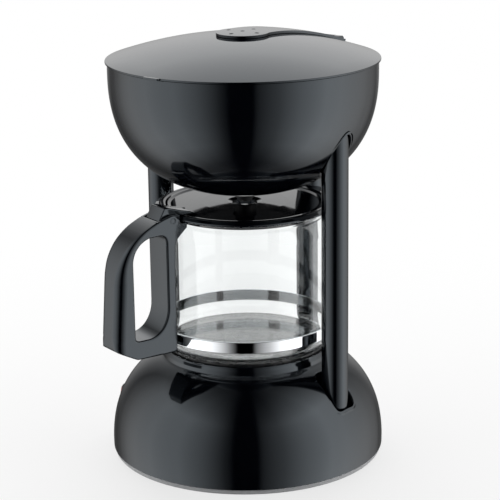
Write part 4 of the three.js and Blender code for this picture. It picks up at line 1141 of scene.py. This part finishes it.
# The lid is a disc, very slightly raised inside its rim, with a drip hole and its short tube, and a
# plug ring that reaches into the neck. Its lever rises from the disc to the thumb rest beyond the pin.
def makeJugLid():
    high, r, hole, low = jugLid["high"], jugLid["radius"], jugLid["hole"], bottom("jug_lid")
    inner, outer = jugLid["plug"]
    rows = softOutline([
        (hole, high - 5.4, 0.3), (hole + 1.6, high - 5.4, 0.3), (hole + 1.6, high - 3.3, 0.6),
        (inner, high - 2.9, 0.6), (inner, low, 0.3), (outer, low, 0.4), (outer, high - 1.5, 0.2),
        (r, high - 1.5, 0.3), (r, high - 0.2, 0.6), (r - 1.8, high + 0.1, 0.5), (r - 3.6, high - 0.5, 0.6),
        (r - 5.4, high - 0.7, 0.5), (r - 7.4, high - 1.6, 1), (32, high - 0.4, 14), (12.6, high, 1.5),
        (hole, high - 1.3, 0.8)])
    disc = turned("jug_lid_disc", rows, count=240)
    finishPiece(disc, "jug_lid", glossPolypropylene, "gloss_black", "jug_lid")
    side = softOutline([
        (47.3, 191.0, 0), (53.8, 193.7, 4), (60.3, 195.2, 4), (67.2, 197.3, 4), (72.1, 198.8, 2.5),
        (76.0, 199.0, 1.2), (81.2, 190.0, 1.2), (78.8, 187.2, 1), (74.8, 185.6, 1), (67.4, 185.6, 1),
        (67.4, 191.7, 0.3), (61.0, 191.7, 0.2)])
    lever = prism("jug_lid_lever", side, -handle["lever"], handle["lever"], 0.8, onJug, middle=(70, 192.5))
    add(lever, "jug_lid", "gloss_black")


makeGlass()
makeBand()
makeCollar()
makeHandle()
makeHandleMetal()
makeJugLid()
print("jug made")


# A light tent round the object, open in front where the camera stands. Each pair is degrees round
# from the camera, left negative, and how bright the tent is there; the second row is by the sine of
# the height above the horizon. The sheet is a bright band behind, from side to side and upwards. The
# floor and the lamp over the object are measured in metres.
studio = {
    "floor": 8.0, "front": 38.5, "brightest": 2.6, "diffuse": 0.5,
    "round": [(-180, 0.1), (-150, 0.1), (-140, 0.22), (-130, 0.5), (-110, 1.4), (-90, 2.0), (-60, 1.95),
              (-40, 1.2), (-20, 0.25), (-12, 0.0), (8, 0.0), (13, 0.25), (30, 0.75), (50, 1.75), (74, 2.6),
              (90, 2.3), (110, 1.45), (130, 0.65), (150, 0.15), (180, 0.1)],
    "tall": [(-1.0, 0.05), (-0.94, 0.15), (-0.85, 0.5), (-0.75, 0.85), (-0.6, 1.0), (0.6, 1.0), (0.82, 0.45),
             (0.93, 0.18), (0.985, 0.06), (1.0, 0.03)],
    "sheet": 1.65, "sheetFrom": {"aside": 0.6, "X": -0.2, "Z": -0.25},
    "sheetTo": {"aside": 0.2, "X": -0.5, "Z": 0.5},
    "over": {"size": (1.7, 1.5), "power": 17.0, "height": 1.35, "behind": 0.85, "aim": 0.17},
    "glow": {"From Min": 0.12, "From Max": 0.6, "To Min": 0.72, "To Max": 1.0},
}


def makeOverheadLamp():
    over = studio["over"]
    data = bpy.data.lights.new("softbox_over", "AREA")
    data.shape, data.size, data.size_y, data.energy = "RECTANGLE", *over["size"], over["power"]
    lamp = bpy.data.objects.new("softbox_over", data)
    bpy.context.scene.collection.objects.link(lamp)
    a = math.radians(studio["front"] + 180)
    lamp.location = (over["behind"] * math.sin(a), -over["behind"] * math.cos(a), over["height"])
    lamp.rotation_mode = "QUATERNION"
    lamp.rotation_quaternion = (Vector((0, 0, over["aim"])) - lamp.location).to_track_quat("-Z", "Y")
    lamp.visible_glossy = False  # the sheet behind is what gloss shows of it


# white paper that glows a little for the camera, more so away from the object, whose shadow it keeps
def makeFloor():
    material = bpy.data.materials.new("paperSweep")
    material.use_nodes = True
    tree = material.node_tree
    tree.nodes.clear()
    paper = addNode(tree, "ShaderNodeBsdfDiffuse", {"Color": linearColour("#f8f8f8")})
    glow = addNode(tree, "ShaderNodeEmission", {"Color": (1, 1, 1, 1), "Strength": 1.0})
    path = addNode(tree, "ShaderNodeLightPath")
    seen = addNode(tree, "ShaderNodeMath", {"operation": "ADD"},
                   {0: path.outputs["Is Camera Ray"], 1: path.outputs["Is Transmission Ray"]})
    place = addNode(tree, "ShaderNodeTexCoord")
    away = addNode(tree, "ShaderNodeVectorMath", {"operation": "LENGTH"}, {0: place.outputs["Object"]})
    glowing = addNode(tree, "ShaderNodeMapRange", studio["glow"], {"Value": away.outputs["Value"]})
    share = addNode(tree, "ShaderNodeMath", {"operation": "MULTIPLY"}, {0: seen, 1: glowing})
    mixed = addNode(tree, "ShaderNodeMixShader", None, {"Fac": share, 1: paper, 2: glow})
    addNode(tree, "ShaderNodeOutputMaterial", None, {"Surface": mixed})
    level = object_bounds()[0].z
    half = studio["floor"] / 2
    corners = [(-half, -half, level), (half, -half, level), (half, half, level), (-half, half, level)]
    mesh = bpy.data.meshes.new("floor")
    mesh.from_pydata(corners, [], [(0, 1, 2, 3)])
    floor = bpy.data.objects.new("floor", mesh)
    bpy.context.scene.collection.objects.link(floor)
    mesh.materials.append(material)
    floor.visible_glossy = False  # gloss and chrome show the tent all round instead


# The tent: wall(angle) rise(height) brightest + sheet, where the sheet is a product of three ramps.
# Gloss shows it in full, diffuse light takes its share, and the camera sees plain white.
def makeTent():
    s = studio
    world = bpy.data.worlds.new("tent")
    bpy.context.scene.world = world
    world.use_nodes = True
    tree = world.node_tree
    tree.nodes.clear()
    place = addNode(tree, "ShaderNodeTexCoord")
    swung = addNode(tree, "ShaderNodeMapping", {"Rotation": (0, 0, math.radians(90 - s["front"]))},
                    {"Vector": place.outputs["Generated"]})
    parts = addNode(tree, "ShaderNodeSeparateXYZ", None, {0: swung})
    angle = addNode(tree, "ShaderNodeMath", {"operation": "ARCTAN2"},
                    {0: parts.outputs["Y"], 1: parts.outputs["X"]})
    around = addNode(tree, "ShaderNodeMapRange", {"From Min": -math.pi, "From Max": math.pi},
                     {"Value": angle})
    height = addNode(tree, "ShaderNodeMapRange", {"From Min": -1.0, "From Max": 1.0},
                     {"Value": parts.outputs["Z"]})
    light = []
    for at, stops in ((around, [(0.5 + a / 360, v / s["brightest"]) for a, v in s["round"]]),
                      (height, [(0.5 + z / 2, v) for z, v in s["tall"]])):
        node = addNode(tree, "ShaderNodeValToRGB", None, {"Fac": at})
        while len(node.color_ramp.elements) < len(stops):
            node.color_ramp.elements.new(0.5)
        for element, (position, value) in zip(node.color_ramp.elements, stops):
            element.position, element.color = position, (value, value, value, 1)
        light.append(node)
    both = addNode(tree, "ShaderNodeMath", {"operation": "MULTIPLY"}, {0: light[0], 1: light[1]})
    walls = addNode(tree, "ShaderNodeMath", {"operation": "MULTIPLY", 1: s["brightest"]}, {0: both})
    aside = addNode(tree, "ShaderNodeMath", {"operation": "ABSOLUTE"}, {0: parts.outputs["Y"]})
    ways = {"aside": aside, "X": parts.outputs["X"], "Z": parts.outputs["Z"]}
    ramps = [addNode(tree, "ShaderNodeMapRange",
                     {"From Min": s["sheetFrom"][way], "From Max": s["sheetTo"][way]},
                     {"Value": source}) for way, source in ways.items()]
    corner = addNode(tree, "ShaderNodeMath", {"operation": "MULTIPLY"}, {0: ramps[0], 1: ramps[1]})
    sheet = addNode(tree, "ShaderNodeMath", {"operation": "MULTIPLY"}, {0: corner, 1: ramps[2]})
    whole = addNode(tree, "ShaderNodeMath", {"operation": "MULTIPLY_ADD", 1: s["sheet"]},
                    {0: sheet, 2: walls})
    path = addNode(tree, "ShaderNodeLightPath")
    level = addNode(tree, "ShaderNodeMapRange", {"To Min": s["diffuse"]},
                    {"Value": path.outputs["Is Glossy Ray"]})
    lit = addNode(tree, "ShaderNodeMath", {"operation": "MULTIPLY"}, {0: whole, 1: level})
    clear = addNode(tree, "ShaderNodeMath", {"operation": "ADD"},
                    {0: path.outputs["Is Camera Ray"], 1: path.outputs["Is Transmission Ray"]})
    strength = addNode(tree, "ShaderNodeMix", {3: 1.0}, {0: clear, 2: lit})
    back = addNode(tree, "ShaderNodeBackground", {"Color": (1, 1, 1, 1)}, {"Strength": strength})
    addNode(tree, "ShaderNodeOutputWorld", None, {"Surface": back})


makeOverheadLamp()
makeFloor()
makeTent()
bpy.context.scene.view_settings.view_transform = "Standard"
print("studio made")
